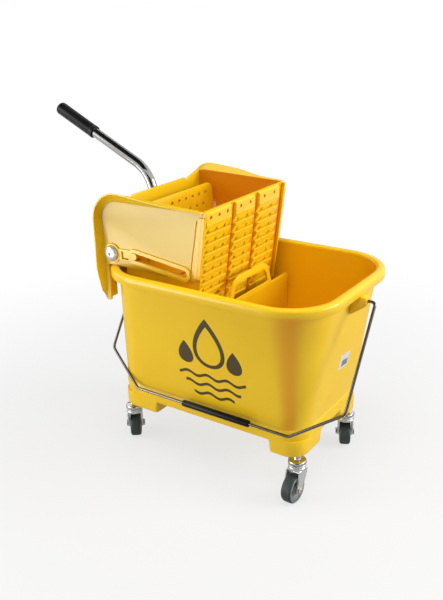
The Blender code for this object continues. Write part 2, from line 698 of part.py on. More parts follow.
def build_lever(part):
    """Welded lever: cross shaft, bent tube and grip, two crank arms with rollers and two bolted caps."""
    pivot = (SHAFT_X, 0.0, SHAFT_Z)
    reach = CHEEK_OUT + 0.0030
    shaft = rod((SHAFT_X, -reach, SHAFT_Z), (SHAFT_X, reach, SHAFT_Z), SHAFT_R, SHAFT_SIDES)
    start = Vector(GRIP_START)
    heading = (Vector(LEVER_TIP) - start).normalized()
    end = Vector(LEVER_TIP) - heading * 0.010
    path = rounded_path([(SHAFT_X, SHAFT_Z), LEVER_BEND, tuple(end)], [0.045], 8)
    tube = sweep([(x, 0.0, z) for x, z in path], TUBE_R, 3)
    part.add("lever_frame", combine(shaft, [tube], "UNION"), "bright_steel", pivot)

    length = (Vector(LEVER_TIP) - start).length
    sides = 20
    bore = (TUBE_R + 0.0001) / math.cos(math.pi / sides)
    profile = [(0.0, length), (GRIP_R - 0.0060, length), (GRIP_R - 0.0022, length - 0.0014),
               (GRIP_R, length - 0.006), (GRIP_R, 0.0015), (GRIP_R - 0.0012, 0.0), (bore, 0.0),
               (bore, length - 0.0085), (0.0, length - 0.0085)]
    grip = lathe(profile, sides, False)
    turn = Vector((0, 0, 1)).rotation_difference(Vector((heading.x, 0, heading.y))).to_matrix().to_4x4()
    grip.transform(Matrix.Translation((start.x, 0, start.y)) @ turn)
    part.add("lever_grip", grip, "black_grip", pivot)

    tip = (SHAFT_X + CRANK_R * math.cos(CRANK_START), SHAFT_Z + CRANK_R * math.sin(CRANK_START))
    y0, y1 = CRANK_Y
    for name, side in (("near", -1), ("far", 1)):
        arm = side_prism([stadium((SHAFT_X, SHAFT_Z), tip, 0.0055)], -y1, -y0)
        hub = side_prism([circle(SHAFT_X, SHAFT_Z, 0.0125, 16)], -y1 - 0.0006, -y0 + 0.0006)
        roller = rod((tip[0], -y1 + 0.001, tip[1]), (tip[0], -BRACKET_Y[1] - 0.0020, tip[1]), ROLLER_R, 16)
        body = combine(arm, [hub, roller], "UNION")
        body = combine(body, [rod((SHAFT_X, -0.2, SHAFT_Z), (SHAFT_X, 0.0, SHAFT_Z), SHAFT_R + 0.0001,
                                   SHAFT_SIDES)], "DIFFERENCE")
        if side > 0:
            body.transform(Matrix.Diagonal((1, -1, 1, 1)))
            body.flip_normals()
        part.add("crank_" + name, tidy(body, 0.000002), "bright_steel", pivot)

        cap = lathe([(0.0, 0.0), (0.0135, 0.0), (0.0135, 0.0022), (0.0115, 0.0044), (0.0060, 0.0056),
                     (0.0, 0.0058)], 22, False)
        socket = prism([circle(0.0, 0.0, 0.0032, 6)], 0.0025, 0.0100)
        cap = combine(cap, [socket], "DIFFERENCE")
        face = Matrix.Rotation(math.radians(90 if side < 0 else -90), 4, "X")
        cap.transform(Matrix.Translation((SHAFT_X, side * (reach + GAP), SHAFT_Z)) @ face)
        part.add("pivot_cap_" + name, cap, "bright_steel", pivot)


def build_bail(part):
    """Bent wire bail hanging on the near side, with a sleeve grip on its straight run."""
    pivot = (0.0, 0.0, BAIL_Z)
    left, right = BAIL_X
    flat_left, flat_right = BAIL_FLAT_X
    path = rounded_path(
        [(RIM_X1 + 0.0005, 0.0), (right, 0.0), (right, BAIL_SHOULDER), (flat_right, BAIL_REACH),
         (flat_left, BAIL_REACH), (left, BAIL_SHOULDER), (left, 0.0), (RIM_X0 - 0.0005, 0.0)],
        [0.006, 0.014, 0.014, 0.014, 0.014, 0.006], 4)
    down = Vector((0.0, -math.sin(BAIL_LEAN), -math.cos(BAIL_LEAN)))
    points = [Vector((x, 0.0, BAIL_Z)) + down * s for x, s in path]
    part.add("bail_wire", sweep(points, WIRE_R, 1), "bright_steel", pivot)
    bore = WIRE_R + 0.0001
    x0, x1 = BAIL_GRIP_X
    length = x1 - x0
    grip = lathe([(bore, 0.0), (BAIL_GRIP_R - 0.001, 0.0), (BAIL_GRIP_R, 0.0015),
                  (BAIL_GRIP_R, length - 0.0015), (BAIL_GRIP_R - 0.001, length), (bore, length)], 16, True)
    centre = Vector((x0, 0.0, BAIL_Z)) + down * BAIL_REACH
    grip.transform(Matrix.Translation(centre) @ Matrix.Rotation(math.radians(90), 4, "Y"))
    part.add("bail_grip", grip, "black_grip", pivot)


def build_divider(part):
    """Lift-out divider panel with an arched handle, wedged between the tapering walls."""
    def inner_half(z):
        return wall_section(z)[2] - WALL - GAP

    foot_z = FLOOR_Z + 0.0050
    wedge_z = WALL_LOW_Z + (DIVIDER_HALF - inner_half(WALL_LOW_Z)) * (WALL_TOP_Z - WALL_LOW_Z) / (
        WALL_TOP[2] - WALL_LOW[2])
    right = [(inner_half(WALL_LOW_Z) - 0.004, foot_z), (inner_half(WALL_LOW_Z), WALL_LOW_Z + 0.001),
             (DIVIDER_HALF, wedge_z + 0.001), (DIVIDER_HALF, DIVIDER_TOP_Z), (ARCH_HALF, DIVIDER_TOP_Z),
             (ARCH_HALF - 0.018, ARCH_TOP_Z)]
    left = [(-y, z) for y, z in reversed(right)]
    corners = [0.004, 0.0, 0.0, 0.006, 0.004, 0.014]
    outline = rounded(right + left, corners + list(reversed(corners)), 4)
    inner = ARCH_HALF - ARCH_BAND
    hole = rounded([(inner, DIVIDER_TOP_Z + 0.004), (inner - 0.013, ARCH_TOP_Z - ARCH_BAND),
                    (-inner + 0.013, ARCH_TOP_Z - ARCH_BAND), (-inner, DIVIDER_TOP_Z + 0.004)], 0.006)
    panel = end_prism([outline, hole], DIVIDER_X - DIVIDER_T / 2, DIVIDER_X + DIVIDER_T / 2)
    part.add("divider", panel, "yellow_plastic", (DIVIDER_X, 0.0, 0.0))


def build_caster(part, name, x, y, yaw):
    """Swivel caster: fixed stem and cap, turning fork, bolt, hub and tyre."""
    turn = Matrix.Translation((x, y, 0)) @ Matrix.Rotation(math.radians(yaw), 4, "Z")
    axle = Vector((-TRAIL, 0.0, GROUND_Z + WHEEL_R))
    swivel = (x, y, 0.0)
    roll = turn @ axle

    stem = lathe([(0.0, CAP_Z), (CAP_R - 0.002, CAP_Z), (CAP_R, CAP_Z + 0.0015), (CAP_R, CAP_Z + 0.0042),
                  (CAP_R - 0.0025, CAP_Z + 0.0068), (0.0060, CAP_Z + 0.0070), (0.0060, FOOT_Z - GAP),
                  (0.0, FOOT_Z - GAP)], 12, False)
    part.add("caster_stem_" + name, shifted(stem, (x, y, 0)), "bright_steel")

    half = TYRE_W / 2 + 0.0016
    crown_x = (-0.0125, 0.0105)
    side = rounded([(crown_x[0], FORK_TOP_Z), (crown_x[1], FORK_TOP_Z), (0.0095, FORK_TOP_Z - 0.010),
                    (axle.x + 0.0085, axle.z - 0.003), (axle.x, axle.z - 0.0090), (axle.x - 0.0080, axle.z)],
                   [0.0, 0.0, 0.0, 0.003, 0.005, 0.003], 2)
    outer, web_z = half + FORK_T, FORK_TOP_Z - FORK_T
    channel = end_prism([[(-outer, 0.0), (-half, 0.0), (-half, web_z), (half, web_z), (half, 0.0),
                          (outer, 0.0), (outer, FORK_TOP_Z), (-outer, FORK_TOP_Z)]], -0.05, 0.05)
    channel = combine(channel, [side_prism([side], -0.05, 0.05)], "INTERSECT")
    race_r, race_top = CAP_R - 0.0005, CAP_Z - GAP
    race = lathe([(0.0, FORK_TOP_Z - 0.0010), (race_r, FORK_TOP_Z - 0.0010), (race_r, race_top - 0.0012),
                  (race_r - 0.0015, race_top), (0.0, race_top)], 12, False)
    fork = combine(channel, [race], "UNION")
    bolt_hole = rod(axle + Vector((0, -0.05, 0)), axle + Vector((0, 0.05, 0)), 0.0034, 12)
    fork = combine(fork, [bolt_hole], "DIFFERENCE")
    fork.transform(turn)
    part.add("caster_fork_" + name, fork, "bright_steel", swivel)

    out = outer + GAP
    bolt = rod((0, -out - 0.0030, 0), (0, out + 0.0030, 0), 0.0032, 12)
    head = side_prism([circle(0, 0, 0.0060, 6)], out, out + 0.0034)
    nut = side_prism([circle(0, 0, 0.0060, 6)], -out - 0.0034, -out)
    bolt = combine(bolt, [head, nut], "UNION")
    bolt.transform(turn @ Matrix.Translation(axle))
    part.add("caster_axle_" + name, bolt, "bright_steel", swivel)

    lay = turn @ Matrix.Translation(axle) @ Matrix.Rotation(math.radians(90), 4, "X")
    rim = 0.0180
    w = TYRE_W / 2 - 0.0010
    dish = w - 0.0045
    hub = lathe([(0.0033, -w), (0.0075, -w), (0.0085, -dish), (rim - 0.0030, -dish), (rim, -w),
                 (rim, w), (rim - 0.0030, dish), (0.0085, dish), (0.0075, w), (0.0033, w)], 12, True)
    hub.transform(lay)
    part.add("caster_hub_" + name, hub, "grey_hub", roll)
    w = TYRE_W / 2
    low = rim + GAP
    tyre = lathe([(low, -w + 0.0010), (WHEEL_R - 0.0040, -w), (WHEEL_R, -w + 0.0050), (WHEEL_R, w - 0.0050),
                  (WHEEL_R - 0.0040, w), (low, w - 0.0010)], 18, True)
    tyre.transform(lay)
    part.add("caster_tyre_" + name, tyre, "tyre_rubber", roll)


def main():
    clear_scene()
    part = Part("mop_bucket")
    build_tub(part)
    build_cheek(part, "wringer_cheek_near", -1)
    build_cheek(part, "wringer_cheek_far", 1)
    build_front_wall(part)
    build_rear_wall(part)
    build_basket_floor(part)
    build_press_plate(part)
    build_brackets(part)
    build_lever(part)
    build_bail(part)
    build_divider(part)
    left, right = STEM_X
    for name, x, y in (("near_left", left, -STEM_Y), ("near_right", right, -STEM_Y),
                       ("far_left", left, STEM_Y), ("far_right", right, STEM_Y)):
        build_caster(part, name, x, y, CASTER_YAW[name])
    shift, size = part.settle()
    print("shift", [round(v, 6) for v in shift], "size", [round(v, 4) for v in size])
    for obj in part.pieces:
        obj.data.calc_loop_triangles()
        print(obj.name, len(obj.data.loop_triangles))


main()
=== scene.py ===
"""Looks of a wheeled mop bucket with a side-press wringer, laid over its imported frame.

Sizes are in metres in the bucket's own drawing frame: +X towards the open end, -Y the side the bail
hangs on, Z up from a little below the floor. Each finished piece is moved by one shift into the row frame.
"""
import logging
import math
from dataclasses import dataclass, field
from enum import Enum
from typing import NamedTuple, Protocol

import bmesh
import bpy
from mathutils import Euler, Matrix, Vector


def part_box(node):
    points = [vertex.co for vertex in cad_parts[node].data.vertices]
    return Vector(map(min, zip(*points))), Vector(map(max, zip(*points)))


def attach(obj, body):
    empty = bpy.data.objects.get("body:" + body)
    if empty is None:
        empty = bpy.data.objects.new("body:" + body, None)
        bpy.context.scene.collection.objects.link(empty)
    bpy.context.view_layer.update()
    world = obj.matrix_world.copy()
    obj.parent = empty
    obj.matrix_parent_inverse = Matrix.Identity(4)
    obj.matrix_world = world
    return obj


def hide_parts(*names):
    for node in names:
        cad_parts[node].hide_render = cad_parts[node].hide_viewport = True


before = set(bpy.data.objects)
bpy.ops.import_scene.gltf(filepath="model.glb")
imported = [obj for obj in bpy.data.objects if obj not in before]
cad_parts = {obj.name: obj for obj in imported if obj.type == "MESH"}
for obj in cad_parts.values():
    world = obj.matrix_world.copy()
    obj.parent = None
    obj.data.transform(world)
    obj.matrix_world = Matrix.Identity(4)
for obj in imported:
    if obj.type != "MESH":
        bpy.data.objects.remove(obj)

LOG = logging.getLogger("mop_bucket")
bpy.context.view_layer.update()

Pair = tuple[float, float]
Pairs = tuple[Pair, ...]
Point = tuple[float, float, float]
Colour = tuple[float, float, float, float]
Mesh = bpy.types.Mesh
Material = bpy.types.Material
Socket = bpy.types.NodeSocket

XZ = Matrix(((1, 0, 0, 0), (0, 0, -1, 0), (0, 1, 0, 0), (0, 0, 0, 1)))
YZ = Matrix(((0, 0, 1, 0), (1, 0, 0, 0), (0, 1, 0, 0), (0, 0, 0, 1)))
QUARTER = math.radians(90)
WELD = 0.00001
FINE_WELD = 0.000002
SLIVER = 0.000001
WHITE: Colour = (1.0, 1.0, 1.0, 1.0)


class Side(Enum):
    """Which side of the bucket's length a piece is on; the value is the sign of Y."""

    NEAR = -1
    FAR = 1

    @property
    def label(self) -> str:
        """The word used in node names."""
        return self.name.lower()


class Cut(Enum):
    """The Boolean that joins or cuts two closed meshes."""

    JOIN = "UNION"
    TAKE = "DIFFERENCE"
    KEEP = "INTERSECT"


class Slot(Enum):
    """The record's material slots."""

    PLASTIC = "yellow_plastic"
    STEEL = "bright_steel"
    GRIP = "black_grip"
    TYRE = "tyre_rubber"
    HUB = "grey_hub"


class Signal:
    """A float inside a shader; arithmetic on it adds Math nodes."""

    def __init__(self, recipe: "Recipe", socket: Socket) -> None:
        """Keep the output socket and the recipe it belongs to."""
        self.recipe = recipe
        self.socket = socket

    def __add__(self, other: "Signal | float") -> "Signal":
        """Sum."""
        return self.recipe.math("ADD", self, other)

    def __radd__(self, other: float) -> "Signal":
        """Sum with a number on the left."""
        return self.recipe.math("ADD", other, self)

    def __sub__(self, other: "Signal | float") -> "Signal":
        """Difference."""
        return self.recipe.math("SUBTRACT", self, other)

    def __rsub__(self, other: float) -> "Signal":
        """Difference with a number on the left."""
        return self.recipe.math("SUBTRACT", other, self)

    def __mul__(self, other: "Signal | float") -> "Signal":
        """Product."""
        return self.recipe.math("MULTIPLY", self, other)

    def __rmul__(self, other: float) -> "Signal":
        """Product with a number on the left."""
        return self.recipe.math("MULTIPLY", other, self)

    def __truediv__(self, other: "Signal | float") -> "Signal":
        """Quotient."""
        return self.recipe.math("DIVIDE", self, other)

    def __rtruediv__(self, other: float) -> "Signal":
        """Quotient with a number on the left."""
        return self.recipe.math("DIVIDE", other, self)

    def __lt__(self, other: "Signal | float") -> "Signal":
        """One where this is the smaller."""
        return self.recipe.math("LESS_THAN", self, other)

    def __gt__(self, other: "Signal | float") -> "Signal":
        """One where this is the larger."""
        return self.recipe.math("GREATER_THAN", self, other)

    def __or__(self, other: "Signal | float") -> "Signal":
        """The larger of two values."""
        return self.recipe.math("MAXIMUM", self, other)

    def __abs__(self) -> "Signal":
        """Size without sign."""
        return self.recipe.math("ABSOLUTE", self)

    def root(self) -> "Signal":
        """Square root."""
        return self.recipe.math("SQRT", self)

    def sine(self) -> "Signal":
        """Sine of the value in radians."""
        return self.recipe.math("SINE", self)

    def span(self, low: float, high: float) -> "Signal":
        """Rise smoothly from 0 at low to 1 at high."""
        node = self.recipe.node("ShaderNodeMapRange", {"interpolation_type": "SMOOTHSTEP"},
                                {"Value": self, "From Min": low, "From Max": high})
        return Signal(self.recipe, node.outputs[0])


Feed = Signal | Socket | float | tuple
Number = Signal | float


class Recipe:
    """A node tree with the few building steps that the finishes and the repeats share."""

    def __init__(self, tree: bpy.types.NodeTree) -> None:
        """Start from an empty tree."""
        self.tree = tree
        tree.nodes.clear()

    @classmethod
    def finish(cls, name: str) -> "tuple[Material, Recipe]":
        """Start a material.

        Args:
            name: Material name.

        Returns:
            The material and the recipe of its tree.
        """
        made = bpy.data.materials.new(name)
        made.use_nodes = True
        return made, cls(made.node_tree)

    def feed(self, socket: Socket, value: Feed) -> None:
        """Link a signal or socket, or set a constant.

        Args:
            socket: Input to fill.
            value: What goes into it.
        """
        if isinstance(value, Signal):
            value = value.socket
        if isinstance(value, Socket):
            self.tree.links.new(value, socket)
        else:
            socket.default_value = value

    def node(self, kind: str, settings: dict[str, object] | None = None,
             sockets: dict[str | int, Feed] | None = None) -> bpy.types.Node:
        """Add a node.

        Args:
            kind: Node type.
            settings: Properties, set before the sockets.
            sockets: Values or links by input name or index.

        Returns:
            The new node.
        """
        node = self.tree.nodes.new(kind)
        for key, value in (settings or {}).items():
            setattr(node, key, value)
        for key, value in (sockets or {}).items():
            self.feed(node.inputs[key], value)
        return node

    def math(self, operation: str, *values: Number) -> Signal:
        """Add a Math node over the values and return its result."""
        node = self.node("ShaderNodeMath", {"operation": operation}, dict(enumerate(values)))
        return Signal(self, node.outputs[0])

    def place(self) -> Socket:
        """Return the piece's own Object coordinates."""
        return self.node("ShaderNodeTexCoord").outputs["Object"]

    def normal(self) -> Socket:
        """Return the direction of the surface."""
        return self.node("ShaderNodeNewGeometry").outputs["Normal"]

    def split(self, vector: Socket) -> tuple[Signal, ...]:
        """Return the x, y and z of a vector."""
        parts = self.node("ShaderNodeSeparateXYZ", None, {0: vector}).outputs
        return tuple(Signal(self, part) for part in parts)

    def noise(self, scale: float, detail: float, stretch: Point = (1, 1, 1)) -> Signal:
        """Add a noise between 0 and 1.

        Args:
            scale: Cells per metre.
            detail: Octaves.
            stretch: Scale along each axis.

        Returns:
            The noise value.
        """
        lay = self.node("ShaderNodeMapping", None, {"Vector": self.place(), "Scale": stretch})
        made = self.node("ShaderNodeTexNoise", None,
                         {"Vector": lay.outputs[0], "Scale": scale, "Detail": detail})
        return Signal(self, made.outputs[0])

    def blend(self, share: Signal, low: Feed, high: Feed) -> Socket:
        """Return a colour that goes from low to high with the share."""
        node = self.node("ShaderNodeMix", {"data_type": "RGBA", "clamp_factor": True},
                         {0: share, 6: low, 7: high})
        return node.outputs[2]

    def soft(self, radius: float) -> Socket:
        """Return a normal that rounds edges over the radius."""
        return self.node("ShaderNodeBevel", {"samples": 4}, {"Radius": radius}).outputs[0]

    def edge(self, soft: Socket, turn: Pair = (0.01, 0.25)) -> Signal:
        """Find the edges of a piece.

        Args:
            soft: Normal with rounded edges.
            turn: How far it turns away from the face where the share starts and is full.

        Returns:
            Zero on open faces and up to one along edges.
        """
        dot = self.node("ShaderNodeVectorMath", {"operation": "DOT_PRODUCT"}, {0: soft, 1: self.normal()})
        return (1.0 - Signal(self, dot.outputs["Value"])).span(*turn)

    def bump(self, height: Signal, strength: float, distance: float, soft: Socket) -> Socket:
        """Raise a surface a little.

        Args:
            height: Height between 0 and 1.
            strength: Share of the effect.
            distance: Height of 1 in metres.
            soft: Normal that it starts from.

        Returns:
            The new normal.
        """
        return self.node("ShaderNodeBump", None, {"Strength": strength, "Distance": distance,
                                                  "Height": height, "Normal": soft}).outputs[0]

    def rays(self) -> tuple[Signal, ...]:
        """Return the signals that are one for camera, glossy and transmission rays."""
        path, kinds = self.node("ShaderNodeLightPath"), ("Camera", "Glossy", "Transmission")
        return tuple(Signal(self, path.outputs[f"Is {kind} Ray"]) for kind in kinds)

    def mixed(self, share: Signal, low: bpy.types.Node, high: bpy.types.Node) -> bpy.types.Node:
        """Return a shader that goes from low to high with the share."""
        return self.node("ShaderNodeMixShader", None, {0: share, 1: low.outputs[0], 2: high.outputs[0]})

    def surface(self, sockets: dict[str, Feed]) -> None:
        """Close the tree with a Principled shader filled from the sockets."""
        shader = self.node("ShaderNodeBsdfPrincipled", None, sockets)
        self.node("ShaderNodeOutputMaterial", None, {"Surface": shader.outputs[0]})


class Section(NamedTuple):
    """Rounded rectangle: its ends in X, half of its width in Y and its corner radius."""

    x0: Number
    x1: Number
    half: Number
    radius: Number

    def inset(self, draw: float) -> "Section":
        """Return the section drawn in all round."""
        return Section(self.x0 + draw, self.x1 - draw, self.half - draw, self.radius - draw)


@dataclass(frozen=True)
class Taper:
    """Walls that go from one section to another; a height may be a number or a shader's signal."""

    low_z: float
    low: Section
    top_z: float
    top: Section

    def share(self, z: Number) -> Number:
        """Return how far up the walls z is, from 0 to 1."""
        return (z - self.low_z) / (self.top_z - self.low_z)

    def at(self, z: Number) -> Section:
        """Return the section at height z."""
        t = self.share(z)
        return Section(*(a + (b - a) * t for a, b in zip(self.low, self.top)))

    def half_at(self, z: Number) -> Number:
        """Return half of the width at height z."""
        return self.low.half + (self.top.half - self.low.half) * self.share(z)

    def end_at(self, z: Number) -> Number:
        """Return the larger x at height z."""
        return self.low.x1 + (self.top.x1 - self.low.x1) * self.share(z)


class Spot(NamedTuple):
    """Where a finish is looked at: the place in the drawing frame and the direction of the surface."""

    x: Signal
    y: Signal
    z: Signal
    along: Signal
    across: Signal
    up: Signal


class Layer(NamedTuple):
    """A tint over a finish: where it lies, its colour, how far it covers and how much it dulls."""

    share: Signal
    tint: Colour
    cover: float = 1.0
    dull: float = 0.0


class Mark(Protocol):
    """Something that tints a part of a plastic's surface."""

    def layers(self, at: Spot) -> list[Layer]:
        """Return the tints that it lays over the finish, in order."""


class Drop(NamedTuple):
    """A printed drop: its foot, half of its width and its height."""

    u: float
    v: float
    radius: float
    height: float


@dataclass(frozen=True)
class DropMotif:
    """Plain printed motif of three water drops over wave lines, on the near wall."""

    wall: Taper
    middle: Pair = (0.044, 0.258)
    scale: float = 1.2
    ink: Colour = (0.014, 0.010, 0.006, 1.0)
    cover: float = 0.94
    dull: float = 0.30
    large: Drop = Drop(0.0, -0.030, 0.0260, 0.078)
    hollow: Drop = Drop(0.0, -0.0245, 0.0195, 0.060)
    small: tuple[Drop, Drop] = (Drop(-0.040, -0.030, 0.0125, 0.036), Drop(0.040, -0.030, 0.0125, 0.036))
    fullness: float = 2.6
    waves: Point = (0.056, 0.046, 0.034)
    wave_drop: float = 0.046
    wave_step: float = 0.0150
    wave_turn: float = 190.0
    wave_rise: float = 0.0026
    line: float = 0.0024
    skin: float = 0.0020

    def drop(self, u: Signal, v: Signal, drop: Drop) -> Signal:
        """Draw one drop.

        Args:
            u: Place along the wall from the motif's middle.
            v: Place up the wall from the motif's middle.
            drop: Its sizes.

        Returns:
            One inside, zero outside.
        """
        t = (v - drop.v) / drop.height
        half = t.root() * (1.0 - t) * (self.fullness * drop.radius)
        return (abs(u - drop.u) < half) * (t < 1.0)

    def layers(self, at: Spot) -> list[Layer]:
        """Print the motif on the wall's outer face.

        Args:
            at: Where the finish is looked at.

        Returns:
            The ink.
        """
        u = (at.x - self.middle[0]) / self.scale
        v = (at.z - self.middle[1]) / self.scale
        marks = self.drop(u, v, self.large) - self.drop(u, v, self.hollow)
        for drop in self.small:
            marks = marks | self.drop(u, v, drop)
        for row, reach in enumerate(self.waves):
            wave = (u * self.wave_turn).sine() * self.wave_rise
            line = abs(v + self.wave_drop + self.wave_step * row + wave) < self.line
            marks = marks | line * (abs(u) < reach)
        outside = at.y + self.wall.half_at(at.z) < self.skin
        return [Layer(marks * outside, self.ink, self.cover, self.dull)]


@dataclass(frozen=True)
class BlankSticker:
    """Blank white sticker with a plain grey patch, on the open end's wall."""

    wall: Taper
    middle: Pair = (0.012, 0.2240)
    half: Pair = (0.0180, 0.0135)
    turn: float = math.radians(-6.0)
    paper: Colour = (0.66, 0.64, 0.62, 1.0)
    dull: float = 0.25
    patch: Colour = (0.20, 0.20, 0.20, 1.0)
    patch_middle: Pair = (0.002, -0.004)
    patch_share: Pair = (0.62, 0.42)
    skin: float = 0.0020

    def layers(self, at: Spot) -> list[Layer]:
        """Stick the paper on the wall's outer face.

        Args:
            at: Where the finish is looked at.

        Returns:
            The paper and the patch on it.
        """
        c, s = math.cos(self.turn), math.sin(self.turn)
        a = at.y - self.middle[0]
        b = at.z - self.middle[1]
        u = a * c + b * s
        v = b * c - a * s
        outside = at.x > self.wall.end_at(at.z) - self.skin
        paper = (abs(u) < self.half[0]) * (abs(v) < self.half[1]) * outside
        patch_u, patch_v = (half * share for half, share in zip(self.half, self.patch_share))
        patch = (abs(u - self.patch_middle[0]) < patch_u) * (abs(v - self.patch_middle[1]) < patch_v)
        return [Layer(paper, self.paper, dull=self.dull), Layer(paper * patch, self.patch)]


@dataclass(frozen=True)
class PaintedHollowShade:
    """Inside of a moulding, painted a deeper orange as painted shade; its sides run through the middle of the
    walls.
    """

    sides: Taper
    floor: float
    # Deeper orange painted over the inner faces as shade.
    tint: Colour = (0.900, 0.440, 0.002, 1.0)
    cover: float = 0.8
    inward: float = 0.0005

    def layers(self, at: Spot) -> list[Layer]:
        """Paint shade on the inner faces.

        Args:
            at: Where the finish is looked at.

        Returns:
            The painted shade.
        """
        x0, x1, half, radius = self.sides.at(at.z)
        u = abs(at.x - (x0 + x1) * 0.5) - (x1 - x0) * 0.5 + radius
        v = abs(at.y) - half + radius
        u, v = u | 0.0, v | 0.0
        inside = (u * u + v * v).root() < radius
        return [Layer(inside * (at.z > self.floor) * (at.across * at.y < self.inward), self.tint, self.cover)]


@dataclass(frozen=True)
class PaintedGrooveShadeAndLedgeLight:
    """Outer face of a leaning wall: painted shade between its raised columns and painted light on their
    sloping ledges.
    """

    top: Pair
    lean: float
    tint: Colour
    cover: float = 0.6
    band: float = 0.0010
    edge: float = 0.0030
    # Paler yellow painted on the downward-sloping ledges as painted light.
    painted_light: Colour = (0.990, 0.710, 0.012, 1.0)
    proud: float = 0.0004
    under: Pair = (0.25, 0.40)

    def layers(self, at: Spot) -> list[Layer]:
        """Paint shade on the wall's own face and light on the ledges.

        Args:
            at: Where the finish is looked at.

        Returns:
            The painted shade and the painted light.
        """
        x, z = self.top
        face = (at.z - z) * self.lean + x
        # Painted shade on the wall's own face between the columns.
        deep = (abs(at.x - face) < self.band) * (at.z < z - self.edge)
        # Painted light on the ledges that slope downwards.
        slope = (at.x > face + self.proud) * (0.0 - at.up).span(*self.under)
        return [Layer(deep, self.tint, self.cover), Layer(slope, self.painted_light)]


@dataclass(frozen=True)
class PaintedCornerShade:
    """Upright corners at the open end of the tub, painted a deeper orange as painted shade."""

    wall: Taper
    rise: Pair = (0.06, 0.48)
    fall: Pair = (0.52, 0.76)
    # Deeper orange painted on the corners as shade.
    tint: Colour = (0.930, 0.350, 0.002, 1.0)
    cover: float = 0.65

    def layers(self, at: Spot) -> list[Layer]:
        """Return the painted shade where the wall turns."""
        turn = at.along.span(*self.rise) * (1.0 - at.along.span(*self.fall))
        return [Layer(turn * (at.z > self.wall.low_z) * (at.z < self.wall.top_z), self.tint, self.cover)]


@dataclass(frozen=True)
class PaintedPanelShade:
    """Flat outer face of each cheek, darkened as painted shade."""

    inner: float = 0.1212
    face: Pair = (0.1226, 0.1246)
    outward: float = 0.10
    # Darker yellow painted on the panel as shade.
    tint: Colour = (0.740, 0.490, 0.010, 1.0)

    def layers(self, at: Spot) -> list[Layer]:
        """Return the painted shade on the panel's own face, without what stands out from it."""
        flat = (abs(at.y) > self.inner) * (1.0 - abs(at.y).span(*self.face))
        return [Layer(flat * (at.across * at.y > self.outward), self.tint)]


@dataclass(frozen=True)
class Plastic:
    """Glossy moulded plastic with faint clouds, rubbed patches, paler edges and its marks, which include
    painted shade and painted light.
    """

    name: str
    shift: Vector
    colour: Colour = (0.920, 0.590, 0.006, 1.0)
    deep: Colour = (0.890, 0.535, 0.004, 1.0)
    pale: Colour = (0.940, 0.670, 0.050, 1.0)
    marks: tuple[Mark, ...] = ()
    rough: float = 0.30
    gloss: float = 0.5
    coat: float = 0.12
    coat_rough: float = 0.10
    ior: float = 1.46
    edge: float = 0.0009
    edge_share: float = 0.35
    cloud: Pair = (11.0, 3.0)
    cloud_span: Pair = (0.35, 0.70)
    cloud_share: float = 0.6
    rub: tuple[float, float, Point] = (34.0, 5.0, (1.0, 1.0, 0.2))
    rub_span: Pair = (0.55, 0.75)
    uneven: float = 0.10
    sag: Pair = (7.0, 1.0)
    grain: Pair = (650.0, 2.0)
    grain_share: float = 0.05
    bump: Pair = (0.30, 0.0016)

    def spot(self, recipe: Recipe) -> Spot:
        """Return where the finish is looked at, in the drawing frame."""
        x, y, z = recipe.split(recipe.place())
        return Spot(x - self.shift.x, y, z - self.shift.z, *recipe.split(recipe.normal()))

    def material(self) -> Material:
        """Make the finish.

        Returns:
            The new material.
        """
        made, recipe = Recipe.finish(self.name)
        cloud, rub = recipe.noise(*self.cloud), recipe.noise(*self.rub)
        soft = recipe.soft(self.edge)
        colour = recipe.blend(cloud.span(*self.cloud_span) * self.cloud_share, self.colour, self.deep)
        colour = recipe.blend(recipe.edge(soft) * self.edge_share, colour, self.pale)
        rough = self.rough + (cloud - 0.5) * self.uneven + rub.span(*self.rub_span) * self.uneven
        at = self.spot(recipe) if self.marks else None
        # Each mark lays its tints here, among them the painted shade of hollows, corners, panels and grooves
        # and the painted light on ledges.
        for mark in self.marks:
            for layer in mark.layers(at):
                colour = recipe.blend(layer.share * layer.cover, colour, layer.tint)
                if layer.dull:
                    rough = rough + layer.share * layer.dull
        height = recipe.noise(*self.sag) + recipe.noise(*self.grain) * self.grain_share
        recipe.surface({"Base Color": colour, "Roughness": rough, "IOR": self.ior,
                        "Normal": recipe.bump(height, *self.bump, soft), "Specular IOR Level": self.gloss,
                        "Coat Weight": self.coat, "Coat Roughness": self.coat_rough})
        return made


@dataclass(frozen=True)
class Steel:
    """Bright plated steel with fine drawing lines and dull patches."""

    name: str
    colour: Colour
    dull: Colour
    rough: float
    grain: float = 1.0
    metal: float = 1.0
    edge: float = 0.0006
    cloud: Pair = (60.0, 4.0)
    dull_span: Pair = (0.45, 0.75)
    dull_share: float = 0.55
    rough_span: Pair = (0.40, 0.80)
    uneven: Pair = (0.16, 0.06)
    lines: tuple[float, float, Point] = (420.0, 2.0, (1.0, 1.0, 0.05))
    bump: Pair = (0.10, 0.0001)

    def material(self) -> Material:
        """Make the finish.

        Returns:
            The new material.
        """
        made, recipe = Recipe.finish(self.name)
        cloud, lines = recipe.noise(*self.cloud), recipe.noise(*self.lines)
        colour = recipe.blend(cloud.span(*self.dull_span) * self.dull_share, self.colour, self.dull)
        patches, scratches = (share * self.grain for share in self.uneven)
        rough = self.rough + cloud.span(*self.rough_span) * patches + (lines - 0.5) * scratches
        strength, distance = self.bump
        normal = recipe.bump(lines, strength, distance * self.grain, recipe.soft(self.edge))
        recipe.surface({"Base Color": colour, "Metallic": self.metal, "Roughness": rough, "Normal": normal})
        return made


